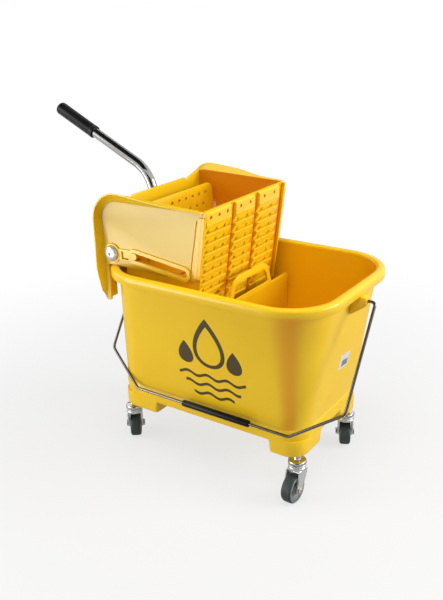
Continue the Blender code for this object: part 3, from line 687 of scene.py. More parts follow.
@dataclass(frozen=True)
class Rubber:
    """Rubber or soft plastic with a fine grain and a little dust."""

    name: str
    colour: Colour
    dusty: Colour
    rough: float
    sheen: float = 0.5
    edge: float = 0.0007
    dust: Pair = (75.0, 5.0)
    dust_span: Pair = (0.42, 0.80)
    dust_share: float = 0.6
    uneven: float = 0.22
    grain: Pair = (900.0, 3.0)
    bump: Pair = (0.25, 0.0002)

    def material(self) -> Material:
        """Make the finish.

        Returns:
            The new material.
        """
        made, recipe = Recipe.finish(self.name)
        dust = recipe.noise(*self.dust)
        colour = recipe.blend(dust.span(*self.dust_span) * self.dust_share, self.colour, self.dusty)
        normal = recipe.bump(recipe.noise(*self.grain), *self.bump, recipe.soft(self.edge))
        recipe.surface({"Base Color": colour, "Roughness": self.rough + (dust - 0.5) * self.uneven,
                        "Normal": normal, "Specular IOR Level": self.sheen})
        return made


class Form:
    """Closed meshes made from outlines, rings, profiles and paths."""

    @staticmethod
    def baked(obj: bpy.types.Object) -> Mesh:
        """Turn a scratch object into a plain mesh.

        Args:
            obj: Object with its modifiers, which is removed.

        Returns:
            Its evaluated mesh.
        """
        bpy.context.scene.collection.objects.link(obj)
        bpy.context.view_layer.update()
        graph = bpy.context.evaluated_depsgraph_get()
        mesh = bpy.data.meshes.new_from_object(obj.evaluated_get(graph))
        bpy.data.objects.remove(obj, do_unlink=True)
        return mesh

    @staticmethod
    def kept(bm: bmesh.types.BMesh, mesh: Mesh | None = None) -> Mesh:
        """Keep a working mesh and free it.

        Args:
            bm: Working mesh.
            mesh: Mesh that takes it, or none for a new one.

        Returns:
            The plain mesh.
        """
        mesh = mesh or bpy.data.meshes.new("form")
        bm.to_mesh(mesh)
        bm.free()
        return mesh

    @staticmethod
    def tidy(mesh: Mesh, distance: float = WELD) -> Mesh:
        """Weld a mesh and turn its faces outwards.

        Args:
            mesh: Mesh to change.
            distance: Points closer than this become one.

        Returns:
            The same mesh.
        """
        bm = bmesh.new()
        bm.from_mesh(mesh)
        bmesh.ops.remove_doubles(bm, verts=bm.verts, dist=distance)
        bmesh.ops.dissolve_degenerate(bm, edges=bm.edges, dist=SLIVER)
        bmesh.ops.recalc_face_normals(bm, faces=bm.faces)
        return Form.kept(bm, mesh)

    @staticmethod
    def chain(curve: bpy.types.Curve, points: list[Point], cyclic: bool) -> None:
        """Add a chain of points to a curve.

        Args:
            curve: Curve to add to.
            points: The chain.
            cyclic: Whether its end joins its start.
        """
        spline = curve.splines.new("POLY")
        spline.points.add(len(points) - 1)
        for slot, point in zip(spline.points, points):
            slot.co = (*point, 1.0)
        spline.use_cyclic_u = cyclic

    @staticmethod
    def prism(outlines: list[list[Pair]], low: float, high: float, basis: Matrix | None = None) -> Mesh:
        """Extrude closed outlines.

        Args:
            outlines: The outside first, then the holes.
            low: Start of the extrusion.
            high: End of the extrusion.
            basis: Turn from the outline's plane, if any.

        Returns:
            A closed mesh.
        """
        curve = bpy.data.curves.new("outline", "CURVE")
        curve.dimensions = "2D"
        curve.fill_mode = "BOTH"
        curve.extrude = (high - low) / 2
        for outline in outlines:
            Form.chain(curve, [(u, v, 0.0) for u, v in outline], True)
        mesh = Form.tidy(Form.baked(bpy.data.objects.new("outline", curve)))
        mesh.transform(Matrix.Translation((0, 0, (low + high) / 2)))
        if basis is not None:
            mesh.transform(basis)
        return mesh

    @staticmethod
    def across(outlines: list[list[Pair]], y0: float, y1: float) -> Mesh:
        """Extrude X-Z outlines across Y."""
        return Form.prism(outlines, -y1, -y0, XZ)

    @staticmethod
    def along(outlines: list[list[Pair]], x0: float, x1: float) -> Mesh:
        """Extrude Y-Z outlines along X."""
        return Form.prism(outlines, x0, x1, YZ)

    @staticmethod
    def towards(heading: Vector) -> Matrix:
        """Return the turn from straight up to a heading."""
        return Vector((0, 0, 1)).rotation_difference(heading).to_matrix().to_4x4()

    @staticmethod
    def rod(start: Vector | Point, end: Vector | Point, radius: float, sides: int = 48) -> Mesh:
        """Make a closed round bar.

        Args:
            start: Middle of one end.
            end: Middle of the other end.
            radius: Half of its thickness.
            sides: Facets round it.

        Returns:
            The bar.
        """
        start, end = Vector(start), Vector(end)
        bm = bmesh.new()
        bmesh.ops.create_cone(bm, cap_ends=True, segments=sides, radius1=radius, radius2=radius,
                              depth=(end - start).length)
        place = Matrix.Translation((start + end) / 2) @ Form.towards(end - start)
        bmesh.ops.transform(bm, matrix=place, verts=bm.verts)
        return Form.kept(bm)

    @staticmethod
    def lathe(profile: list[Pair], sides: int, closed: bool = False) -> Mesh:
        """Turn a profile about Z.

        Args:
            profile: Pairs of radius and height.
            sides: Steps in the turn.
            closed: True for a ring, False for a profile that starts and ends on the axis.

        Returns:
            A closed mesh.
        """
        mesh = bpy.data.meshes.new("profile")
        edges = [(i, i + 1) for i in range(len(profile) - 1)]
        if closed:
            edges.append((len(profile) - 1, 0))
        mesh.from_pydata([(r, 0.0, z) for r, z in profile], edges, [])
        obj = bpy.data.objects.new("profile", mesh)
        screw = obj.modifiers.new("turn", "SCREW")
        screw.axis = "Z"
        screw.angle = math.tau
        screw.steps = screw.render_steps = sides
        screw.use_merge_vertices = True
        screw.merge_threshold = 2 * WELD
        return Form.tidy(Form.baked(obj))

    @staticmethod
    def sweep(points: list[Vector], radius: float, resolution: int) -> Mesh:
        """Make a round bar along a chain of points, closed at both ends.

        Args:
            points: The chain.
            radius: Half of the bar's thickness.
            resolution: Facets in half of its section, less two.

        Returns:
            The bar.
        """
        curve = bpy.data.curves.new("path", "CURVE")
        curve.dimensions = "3D"
        curve.bevel_depth = radius
        curve.bevel_resolution = resolution
        curve.use_fill_caps = True
        Form.chain(curve, points, False)
        return Form.tidy(Form.baked(bpy.data.objects.new("path", curve)))

    @staticmethod
    def loft(rings: list[list[Point]]) -> Mesh:
        """Skin a chain of rings and close both ends.

        Args:
            rings: Rings of equal count.

        Returns:
            A closed mesh.
        """
        bm = bmesh.new()
        rows = [[bm.verts.new(p) for p in ring] for ring in rings]
        for low, high in zip(rows, rows[1:]):
            for i in range(len(low)):
                j = (i + 1) % len(low)
                bm.faces.new((low[i], low[j], high[j], high[i]))
        bm.faces.new(list(reversed(rows[0])))
        bm.faces.new(rows[-1])
        return Form.tidy(Form.kept(bm))

    @staticmethod
    def joined(meshes: list[Mesh]) -> Mesh:
        """Put several separate meshes into one.

        Args:
            meshes: Closed meshes.

        Returns:
            The one mesh.
        """
        bm = bmesh.new()
        for mesh in meshes:
            bm.from_mesh(mesh)
        return Form.kept(bm)

    @staticmethod
    def combine(base: Mesh, tools: list[Mesh], cut: Cut) -> Mesh:
        """Run an exact Boolean with each tool in turn.

        Args:
            base: Closed mesh to start from.
            tools: Closed meshes to join or cut with.
            cut: What each tool does.

        Returns:
            The new closed mesh.
        """
        for tool_mesh in tools:
            body = bpy.data.objects.new("body", base)
            tool = bpy.data.objects.new("tool", tool_mesh)
            bpy.context.scene.collection.objects.link(tool)
            step = body.modifiers.new("cut", "BOOLEAN")
            step.operation = cut.value
            step.solver = "EXACT"
            step.object = tool
            base = Form.tidy(Form.baked(body), FINE_WELD)
            bpy.data.objects.remove(tool, do_unlink=True)
        return base

    @staticmethod
    def softened(mesh: Mesh, width: float, segments: int = 2, sharp: float = 38.0) -> Mesh:
        """Round the sharp edges of a mesh.

        Args:
            mesh: Closed mesh.
            width: How far the rounding reaches from an edge.
            segments: Facets across it.
            sharp: Least turn of an edge that is rounded, in degrees.

        Returns:
            The new closed mesh.
        """
        obj = bpy.data.objects.new("soft", mesh)
        step = obj.modifiers.new("soften", "BEVEL")
        step.width = width
        step.segments = segments
        step.limit_method = "ANGLE"
        step.angle_limit = math.radians(sharp)
        return Form.tidy(Form.baked(obj))

    @staticmethod
    def mirrored(mesh: Mesh, side: Side) -> Mesh:
        """Turn a mesh of the near side over, if the far side is asked for.

        Args:
            mesh: Mesh to change.
            side: Side it is for.

        Returns:
            The same mesh.
        """
        if side is Side.FAR:
            mesh.transform(Matrix.Diagonal((1, -1, 1, 1)))
            mesh.flip_normals()
        return mesh

    @staticmethod
    def edge(radius: float, z: float, pairs: Pairs) -> list[Pair]:
        """Return a profile's points from pairs of inset and rise."""
        return [(radius - inset, z + rise) for inset, rise in pairs]

    @staticmethod
    def steps(first: float, last: float, count: int) -> list[float]:
        """Return the values from first to last in equal steps."""
        return [first + (last - first) * k / count for k in range(count + 1)]

    @staticmethod
    def arc(u: float, v: float, radius: float, start: float, turn: float, count: int) -> list[Pair]:
        """Draw an arc.

        Args:
            u: Centre.
            v: Centre.
            radius: Its radius.
            start: Angle of the first point.
            turn: Angle from the first point to the last.
            count: Facets.

        Returns:
            Its points.
        """
        return [(u + radius * math.cos(a), v + radius * math.sin(a))
                for a in Form.steps(start, start + turn, count)]

    @staticmethod
    def circle(u: float, v: float, radius: float, sides: int) -> list[Pair]:
        """Return the points of a circle."""
        return Form.arc(u, v, radius, 0.0, math.tau, sides)[:-1]

    @staticmethod
    def stadium(start: Pair, end: Pair, radius: float, count: int = 14) -> list[Pair]:
        """Draw the outline of a slot.

        Args:
            start: Centre of one end.
            end: Centre of the other end.
            radius: Half of its width.
            count: Facets in each end.

        Returns:
            The outline.
        """
        first, last = Vector(start), Vector(end)
        heading = math.atan2(last.y - first.y, last.x - first.x)
        return (Form.arc(*last, radius, heading - QUARTER, math.pi, count)
                + Form.arc(*first, radius, heading + QUARTER, math.pi, count))

    @staticmethod
    def ring(section: Section, inset: float, z: float, count: int = 20, least: float = 0.006) -> list[Point]:
        """Draw a rounded rectangle at height z.

        Args:
            section: Its size.
            inset: How far the ring is drawn in.
            z: Height.
            count: Facets in each corner.
            least: Smallest corner radius.

        Returns:
            The ring's points.
        """
        x0, x1, half, radius = section.inset(inset)
        radius = max(radius, least)
        x0, x1, half = x0 + radius, x1 - radius, half - radius
        points = []
        for k, (x, y) in enumerate(((x1, half), (x0, half), (x0, -half), (x1, -half))):
            points += [(u, v, z) for u, v in Form.arc(x, y, radius, QUARTER * k, QUARTER, count)]
        return points

    @staticmethod
    def rounded(points: list[Pair], radii: tuple[float, ...], count: int = 10) -> list[Pair]:
        """Round the corners of a polygon.

        Args:
            points: Its corners.
            radii: Radius of each corner, or 0 for a sharp one.
            count: Facets in each corner.

        Returns:
            The rounded outline.
        """
        out = []
        for i, (corner, radius) in enumerate(zip(points, radii, strict=True)):
            if radius <= 0:
                out.append(tuple(corner))
                continue
            here = Vector(corner)
            back = (Vector(points[i - 1]) - here).normalized()
            ahead = (Vector(points[(i + 1) % len(points)]) - here).normalized()
            half = back.angle(ahead) / 2
            reach = radius / math.tan(half)
            centre = here + (back + ahead).normalized() * (radius / math.sin(half))
            first, last = here + back * reach - centre, here + ahead * reach - centre
            for a in Form.steps(0.0, -first.angle_signed(last), count):
                c, s = math.cos(a), math.sin(a)
                out.append((centre.x + first.x * c - first.y * s, centre.y + first.x * s + first.y * c))
        return out


class RepeatTree:
    """Geometry Nodes tree that repeats the mesh it is given along a straight line."""

    name = "repeat_along_line"
    inputs = {"Geometry": "Geometry", "Count": "Int", "Step": "Vector", "Finish": "Material"}

    def __init__(self) -> None:
        """Build the tree with its named inputs."""
        self.tree = bpy.data.node_groups.new(self.name, "GeometryNodeTree")
        for name, kind in self.inputs.items():
            self.tree.interface.new_socket(name, in_out="INPUT", socket_type="NodeSocket" + kind)
        self.tree.interface.new_socket("Geometry", in_out="OUTPUT", socket_type="NodeSocketGeometry")
        recipe = Recipe(self.tree)
        given = recipe.node("NodeGroupInput").outputs
        real = recipe.node("GeometryNodeRealizeInstances", None, {"Geometry": self.placed(recipe, given)})
        paint = recipe.node("GeometryNodeSetMaterial", None,
                            {"Geometry": real.outputs["Geometry"], "Material": given["Finish"]})
        recipe.node("NodeGroupOutput", None, {"Geometry": paint.outputs["Geometry"]})

    def placed(self, recipe: Recipe, given: bpy.types.NodeOutputs) -> Socket:
        """Stand the given mesh on every point of a line.

        Args:
            recipe: Recipe of the tree.
            given: The tree's inputs.

        Returns:
            The instances.
        """
        line = recipe.node("GeometryNodeMeshLine", {"mode": "OFFSET"},
                           {"Count": given["Count"], "Offset": given["Step"]})
        place = recipe.node("GeometryNodeInstanceOnPoints", None,
                            {"Points": line.outputs["Mesh"], "Instance": given["Geometry"]})
        return place.outputs["Instances"]

    def bake(self, mesh: Mesh, values: dict[str, object]) -> Mesh:
        """Run the tree on a mesh.

        Args:
            mesh: Geometry the tree starts from.
            values: Settings by input name.

        Returns:
            The repeated geometry as a plain mesh.
        """
        obj = bpy.data.objects.new("repeat", mesh)
        step = obj.modifiers.new("repeat", "NODES")
        step.node_group = self.tree
        for item in self.tree.interface.items_tree:
            if item.in_out == "INPUT" and item.name in values:
                step[item.identifier] = values[item.name]
        return Form.tidy(Form.baked(obj), FINE_WELD)


class StudTree(RepeatTree):
    """Geometry Nodes tree that stands a cylinder on every vertex of the mesh it is given."""

    name = "stud_on_points"
    inputs = {"Geometry": "Geometry", "Sides": "Int", "Radius": "Float", "Depth": "Float", "Turn": "Vector",
              "Finish": "Material"}

    def placed(self, recipe: Recipe, given: bpy.types.NodeOutputs) -> Socket:
        """Stand a cylinder on every vertex of the given mesh.

        Args:
            recipe: Recipe of the tree.
            given: The tree's inputs.

        Returns:
            The instances.
        """
        stud = recipe.node("GeometryNodeMeshCylinder", None, {
            "Vertices": given["Sides"], "Radius": given["Radius"], "Depth": given["Depth"]})
        spin = recipe.node("FunctionNodeEulerToRotation", None, {"Euler": given["Turn"]})
        place = recipe.node("GeometryNodeInstanceOnPoints", None, {
            "Points": given["Geometry"], "Instance": stud.outputs["Mesh"],
            "Rotation": spin.outputs["Rotation"]})
        return place.outputs["Instances"]

    def stand(self, points: list[Point], radius: float, depth: float, turn: Euler, sides: int,
              finish: Material) -> Mesh:
        """Make a mesh of equal cylinders.

        Args:
            points: Their middles.
            radius: Radius of each.
            depth: Length of each.
            turn: Turn from upright.
            sides: Facets round each.
            finish: Material they carry.

        Returns:
            The cylinders as one mesh.
        """
        mesh = bpy.data.meshes.new("points")
        mesh.from_pydata(points, [], [])
        return self.bake(mesh, {"Radius": radius, "Depth": depth, "Turn": tuple(turn), "Sides": sides,
                                "Finish": finish})


@dataclass(frozen=True)
class Palette:
    """The materials that the pieces share."""

    tub: Material
    wringer: Material
    plain: Material
    drain: Material
    steel: Material
    zinc: Material
    rod: Material
    wire: Material
    grip: Material
    tyre: Material
    sidewall: Material
    hub: Material


@dataclass(frozen=True)
class Kit:
    """What every sub-assembly is made with: the move to the row frame, the materials and the repeats."""

    shift: Vector
    palette: Palette
    rows: RepeatTree
    studs: StudTree


@dataclass
class Assembly:
    """A sub-assembly that hands its finished pieces to the frame."""

    kit: Kit
    pieces: list[str] = field(default_factory=list, init=False)

    def add(self, mesh: Mesh, name: str, body: str, node: str, slot: Slot, finish: Material,
            angle: float = 32.0) -> Mesh:
        """Place a drawing-frame mesh as a finished piece.

        Args:
            mesh: Closed mesh.
            name: Piece name.
            body: Body it moves with.
            node: CAD node it stands for.
            slot: Material slot of the record; not used.
            finish: Material.
            angle: Edges sharper than this stay sharp, in degrees.

        Returns:
            The finished piece's mesh.
        """
        mesh.transform(Matrix.Translation(self.kit.shift))
        mesh.name = name
        mesh.materials.clear()
        mesh.materials.append(finish)
        for face in mesh.polygons:
            face.use_smooth = True
            face.material_index = 0
        mesh.set_sharp_from_angle(angle=math.radians(angle))
        obj = bpy.data.objects.new(name, mesh)
        bpy.context.scene.collection.objects.link(obj)
        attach(obj, body)
        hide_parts(node)
        self.pieces.append(f"{name} on {body}, {len(mesh.polygons)} faces")
        return mesh

    def dress(self, node: str, finish: Material) -> None:
        """Give a CAD node that stays in view its finish.

        Args:
            node: Node name.
            finish: Material.
        """
        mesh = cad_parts[node].data
        mesh.materials.clear()
        mesh.materials.append(finish)
        self.pieces.append(f"{node} in its CAD form")

    def build(self) -> None:
        """Build every piece of the sub-assembly."""
        raise NotImplementedError


@dataclass
class Tub(Assembly):
    """Tapered tub with a rolled rim, a raised skirt, four feet and two bail bosses.

    An edge is a chain of (inset, rise) pairs from the section and the height that it belongs to; a foot's
    edge is a chain of (rise, flare, draw), where the flare widens its inner sides and the draw narrows its
    outer ones.
    """

    # Rim and its turned-down lip
    rim: Section = Section(-0.181, 0.250, 0.1605, 0.092)
    rim_z: float = 0.3657
    rim_round: Pair = (0.0052, 0.0056)
    lip_w: float = 0.0157
    lip_drop: float = 0.0162
    lip_root: Pairs = ((0.0034, 0.0), (0.0030, -0.0006))
    lip_edge: Pairs = ((0.0030, 0.0010), (0.0024, 0.0002), (0.0015, 0.0), (0.0006, 0.0003), (0.0, 0.0014))
    # Wall, skirt and floor
    wall: Taper = Taper(0.1405, Section(-0.1725, 0.2055, 0.1145, 0.042),
                        0.3535, Section(-0.1675, 0.2365, 0.1470, 0.079))
    thick: float = 0.004
    inside_drop: float = 0.006
    skirt_top: Section = Section(-0.1740, 0.2070, 0.1162, 0.043)
    skirt_low: Section = Section(-0.1715, 0.2030, 0.1120, 0.040)
    skirt_z: Pair = (0.1120, 0.1380)
    skirt_in: float = 0.0055
    skirt_foot: Pairs = ((0.0045, 0.0008), (0.0036, 0.0), (0.0010, 0.0), (0.0, 0.0012))
    skirt_head: Pairs = ((0.0, -0.0008), (0.0004, 0.0004))
    floor_z: float = 0.1260
    floor_edge: Pairs = ((0.0008, 0.0092), (0.0021, 0.0058), (0.0042, 0.0030), (0.0070, 0.0010),
                         (0.0100, 0.0))
    # Feet
    foot_z: float = 0.0900
    foot_x: Pairs = ((-0.1722, -0.0885), (0.1455, 0.2037))
    foot_y: Pair = (0.1127, 0.0360)
    foot_round: tuple[float, ...] = (0.030, 0.006, 0.006, 0.006)
    foot_edge: tuple[Point, ...] = (
        (0.0, -0.0022, 0.0024), (0.0006, -0.0010, 0.0013), (0.0018, -0.0003, 0.0006), (0.0034, 0.0, 0.0003),
        (0.0170, 0.0010, 0.0), (0.0205, 0.0024, 0.0), (0.0235, 0.0048, 0.0), (0.0262, 0.0080, 0.0003),
        (0.0290, 0.0120, 0.0006))
    # Bail bosses
    bail_z: float = 0.3420
    bail_hole: Pair = (-0.004, 0.022)
    bail_hole_r: float = 0.0026
    boss_half: float = 0.0085
    boss_reach: Pair = (0.002, 0.0095)
    boss_top: Pair = (0.0090, 0.0070)
    boss_low: Pair = (0.0260, 0.0065)
    boss_soft: float = 0.0014

    def shell(self) -> Mesh:
        """Make the tub without feet and bosses, as one skin from its underside to its floor.

        Returns:
            The closed shell.
        """
        low_z, top_z = self.wall.low_z, self.wall.top_z
        rows = [(self.skirt_low, self.skirt_in, self.floor_z - self.thick)]
        rows += [(self.skirt_low, inset, self.skirt_z[0] + rise) for inset, rise in self.skirt_foot]
        rows += [(self.skirt_top, inset, self.skirt_z[1] + rise) for inset, rise in self.skirt_head]
        rows += [(self.wall.at(z), 0.0, z) for z in Form.steps(low_z, top_z, count=8)]
        rows += [(self.rim, inset, top_z + rise) for inset, rise in self.lip_root]
        rows += [(self.rim, inset, self.rim_z - self.lip_drop + rise) for inset, rise in self.lip_edge]
        outer, inner = self.rim_round
        bends = [(1 - math.cos(a), 1 - math.sin(a)) for a in Form.steps(0.0, QUARTER, count=6)]
        rows += [(self.rim, outer * u, self.rim_z - outer * v) for u, v in bends]
        rows += [(self.rim, self.lip_w - inner * v, self.rim_z - inner * u) for u, v in bends]
        inside = Form.steps(top_z - self.inside_drop, low_z, count=7)
        rows += [(self.wall.at(z), self.thick, z) for z in inside]
        rows += [(self.wall.low, self.thick + inset, self.floor_z + rise) for inset, rise in self.floor_edge]
        return Form.loft([Form.ring(*row) for row in rows])

    def foot(self, x0: float, x1: float, side: Side) -> Mesh:
        """Make one tapering foot, flared where it leaves the skirt.

        Args:
            x0: Smaller x.
            x1: Larger x.
            side: Side of the tub.

        Returns:
            The closed foot.
        """
        outer, inner = self.foot_y
        rings = []
        for rise, grow, draw in self.foot_edge:
            y_out, y_in = side.value * (outer - draw), side.value * (inner - grow)
            end, root = (x0 + draw, x1 + grow) if x0 < 0 else (x1 - draw, x0 - grow)
            corners = [(end, y_out), (end, y_in), (root, y_in), (root, y_out)]
            plan = Form.rounded(corners, self.foot_round, count=9)
            rings.append([(x, y, self.foot_z + rise) for x, y in plan])
        return Form.loft(rings)

    def boss(self, lip_x: float, wall_x: float, way: int) -> Mesh:
        """Make the gusseted boss that takes one end of the bail.

        Args:
            lip_x: Outer edge of the rim.
            wall_x: Outer face of the wall.
            way: Sign of x towards the outside.

        Returns:
            The closed boss.
        """
        root, tip = wall_x - way * self.boss_reach[0], lip_x + way * self.boss_reach[1]
        tops = [(x, self.bail_z + rise) for x, rise in zip((root, tip), self.boss_top)]
        lows = [(x, self.bail_z - drop) for x, drop in zip((root, tip), self.boss_low)]
        web = Form.across([tops + lows[::-1]], -self.boss_half, self.boss_half)
        return Form.softened(web, self.boss_soft, segments=3)

    def build(self) -> None:
        """Build the tub."""
        wall = self.wall.at(self.bail_z)
        extras = [self.foot(x0, x1, side) for x0, x1 in self.foot_x for side in Side]
        extras += [self.boss(self.rim.x1, wall.x1, 1), self.boss(self.rim.x0, wall.x0, -1)]
        body = Form.combine(self.shell(), extras, Cut.JOIN)
        holes = []
        for x, way in ((self.rim.x1, 1), (self.rim.x0, -1)):
            start, end = ((x + way * reach, 0, self.bail_z) for reach in self.bail_hole)
            holes.append(Form.rod(start, end, self.bail_hole_r))
        body = Form.combine(body, [Form.joined(holes)], Cut.TAKE)
        self.add(body, "tub_shell", "tub", "tub", Slot.PLASTIC, self.kit.palette.tub)


@dataclass
class Wringer(Assembly):
    """Cheeks, louvred front wall, rear wall and drained floor of the wringer.

    Outlines beside the front wall (post, strip, furrow) are chains of (z, x) pairs, with x from the wall's
    leaning outer face. The rib, neck and disc are given by radius, height over the cheek and depth in it.
    Names with past are how far cutting tools reach beyond what they cut.
    """

    # Cheek with its flared flange and its leg
    rim_z: float = 0.3660
    cheek_in: float = 0.1185
    cheek_out: float = 0.1225
    flange_y: float = 0.1390
    lip_t: float = 0.0022
    flare: float = 0.0125
    dish: Pair = (0.0023, 0.0120)
    dish_round: float = 0.6
    dish_past: Pair = (0.131, 0.004)
    cheek_x0: float = -0.1820
    cheek_r: float = 0.052
    front_top: Pair = (0.0352, 0.4832)
    front_r: float = 0.004
    lean: float = 0.134
    top_slope: float = 0.083
    leg: Pair = (-0.1690, 0.2980)
    leg_r: float = 0.003
    heel: Pair = (0.004, 0.345)
    heel_r: float = 0.012
    front_fade: Pair = (-0.075, 0.0012)
    front_fade_z: Pair = (0.40, 0.60)
    foot_fade: Pair = (0.362, 0.0040)
    foot_fade_x: Pair = (-0.25, 0.0)
    past: Point = (0.0005, 0.01, 0.02)
    # Shaft hole, guide slot and trims on the cheek
    shaft: Pair = (-0.1570, 0.3870)
    shaft_r: float = 0.0081
    slot_start: Pair = (-0.1083, 0.3887)
    slot_drop: float = math.radians(6.9)
    slot_r: float = 0.0065
    travel: float = 0.104
    rib: Point = (0.0128, 0.0026, 0.0010)
    neck: Point = (0.0098, 0.0022, 0.0012)
    disc: Point = (0.0172, 0.0026, 0.0014)
    post: Pairs = ((0.372, -0.0060), (0.372, 0.0055), (0.4700, 0.0055), (0.4740, 0.0030), (0.474, -0.0060))
    post_t: Pair = (0.0022, 0.0016)
    strip: Pairs = ((0.300, -0.0060), (0.300, 0.0055), (0.4812, 0.0055), (0.4812, -0.0060))
    furrow: Pairs = ((0.376, -0.0150), (0.376, -0.0060), (0.4680, -0.0060), (0.4680, -0.0110))
    furrow_left: float = 0.0014
    recess: Pairs = ((-0.1358, 0.3937), (-0.1318, 0.3937), (-0.1318, 0.3834), (-0.1205, 0.3834),
                     (-0.1205, 0.3804), (-0.1358, 0.3804))
    recess_left: float = 0.0028
    cut_y: Pair = (-0.15, -0.10)
    # Apron, pads and turned-in edge inside the tub
    apron_x: float = -0.1310
    apron_rise: float = 0.006
    apron_t: Pair = (0.0004, 0.0040)
    pad_x: Pair = (-0.085, -0.010)
    pad_z: Pair = (0.318, 0.330)
    pad_w: float = 0.012
    pad_gap: float = 0.0007
    turn_x: Pair = (0.0004, 0.0050)
    turn_y: float = 0.0960
    turn_z: Pair = (0.0016, 0.4000)
    gap: float = 0.0003
    sunk: float = 0.001
    # Front wall with its ledges and drain holes
    wall_t: float = 0.004
    rows: int = 10
    pitch: float = 0.0167
    first: float = 0.0210
    ledge: float = 0.007
    ledge_edge: Pairs = ((-0.0005, -0.0004), (0.0, -0.0012), (-0.0006, -0.0035))
    ledge_foot: float = 0.0006
    head_x: Point = (0.0064, 0.0050, 0.0025)
    head_drop: Pair = (0.0022, 0.0025)
    columns: tuple[tuple[float, float, int], ...] = ((-0.1182, -0.0490, 3), (-0.0352, 0.0215, 2),
                                                     (0.0365, 0.1010, 2))
    column_gap: float = 0.0002
    large: tuple[float, int] = (0.0031, 20)
    large_drop: float = 0.0115
    small: tuple[float, int] = (0.0027, 16)
    small_rise: float = 0.0030
    drill: float = 0.024
    # Rear wall
    rear_x: Pair = (-0.1487, -0.1447)
    rear_z: Pair = (0.4120, 0.4797)
    rear_drop: float = 0.0105
    rear_soft: float = 0.0007
    notch_y: Point = (0.0850, 0.0790, 0.0740)
    notch_drop: Pair = (0.0035, 0.0065)
    notch_step: float = 0.0005

    def front_x(self, z: float) -> float:
        """Return the outer face of the leaning front wall at height z."""
        return self.front_top[0] - (self.front_top[1] - z) * self.lean

    def on_front(self, pairs: Pairs) -> list[Pair]:
        """Return an X-Z outline from heights and places beside the front wall."""
        return [(self.front_x(z) + dx, z) for z, dx in pairs]

    def cheek_top(self, x: float) -> float:
        """Return the height of the cheek's top edge at x."""
        return self.front_top[1] + (self.front_top[0] - x) * self.top_slope

    def outline(self, drop: float, y: float) -> list[Point]:
        """Draw the cheek's edge.

        Args:
            drop: How far the rear top corner is lowered.
            y: Where the outline lies.

        Returns:
            The closed outline.
        """
        x0, seat = self.cheek_x0, self.rim_z
        draw, heel_z = self.heel
        corners = [(self.front_x(seat), seat), self.front_top, (x0, self.cheek_top(x0) - drop), (x0, heel_z),
                   (x0 + draw, self.leg[1]), self.leg, (self.leg[0], seat)]
        radii = (0.0, self.front_r, self.cheek_r, self.heel_r, self.leg_r, self.leg_r, self.leg_r)
        return [(x, y, z) for x, z in Form.rounded(corners, radii, count=14)]

    def dished(self) -> Mesh:
        """Make the tool that dishes the near cheek and leaves its flared edge.

        Returns:
            The closed tool.
        """
        y0, y1 = -self.cheek_out, -self.flange_y
        front, foot = self.front_top[0] + self.past[1], self.leg[1] - self.dish_past[1]
        rings = []
        for a in Form.steps(0.0, QUARTER, count=8):
            side, deep = (self.lip_t + reach * (1 - math.cos(a)) for reach in self.dish)
            deep += self.flare * math.sin(a) * (y0 - y1) / (self.flange_y - self.cheek_in)
            x = self.cheek_x0 + side
            corners = [(front, self.cheek_top(front) - self.lip_t), (x, self.cheek_top(x) - deep), (x, foot),
                       (self.dish_past[0], foot)]
            plan = Form.rounded(corners, (0.0, self.cheek_r - self.dish_round * deep, 0.0, 0.0), count=14)
            rings.append([(u, y1 + (y0 - y1) * math.sin(a), v) for u, v in plan])
        return Form.loft([[(x, y1 - self.past[1], z) for x, _, z in rings[0]]] + rings)

    def plate(self) -> Mesh:
        """Make the near cheek's dished plate, its flared edge fading away at front and foot.

        Returns:
            The closed plate.
        """
        y0, y1, low = -self.cheek_out, -self.flange_y, self.leg[1]
        hair, near, beyond = self.past
        x, left = self.front_fade
        front_x = self.front_top[0] + beyond
        front = Form.prism([[(front_x, y0 - left), (x, y1 - hair), (x, y1 - beyond), (front_x, y1 - beyond)]],
                           *self.front_fade_z)
        z, left = self.foot_fade
        foot_z = low - near
        foot = Form.along([[(y0 - left, foot_z), (y1 - hair, z), (y1 - beyond, z), (y1 - beyond, foot_z)]],
                          *self.foot_fade_x)
        block = Form.loft([self.outline(0.0, y1), self.outline(self.flare, -self.cheek_in)])
        return Form.combine(block, [self.dished(), front, foot], Cut.TAKE)

    def slot_end(self) -> Pair:
        """Return the centre of the guide slot's far end."""
        return (self.slot_start[0] + self.travel * math.cos(self.slot_drop),
                self.slot_start[1] - self.travel * math.sin(self.slot_drop))

    def trims(self) -> list[Mesh]:
        """Make what is raised from the near cheek: rib, neck, disc, post and front strip.

        Returns:
            Closed meshes.
        """
        out = -self.cheek_out
        plans = ((Form.stadium(self.slot_start, self.slot_end(), self.rib[0]), *self.rib[1:]),
                 (Form.stadium(self.shaft, self.slot_start, self.neck[0]), *self.neck[1:]),
                 (Form.circle(*self.shaft, self.disc[0], sides=48), *self.disc[1:]),
                 (self.on_front(self.post), *self.post_t))
        made = [Form.across([plan], out - proud, out + sunk) for plan, proud, sunk in plans]
        return made + [Form.across([self.on_front(self.strip)], out + self.column_gap, -self.cheek_in)]

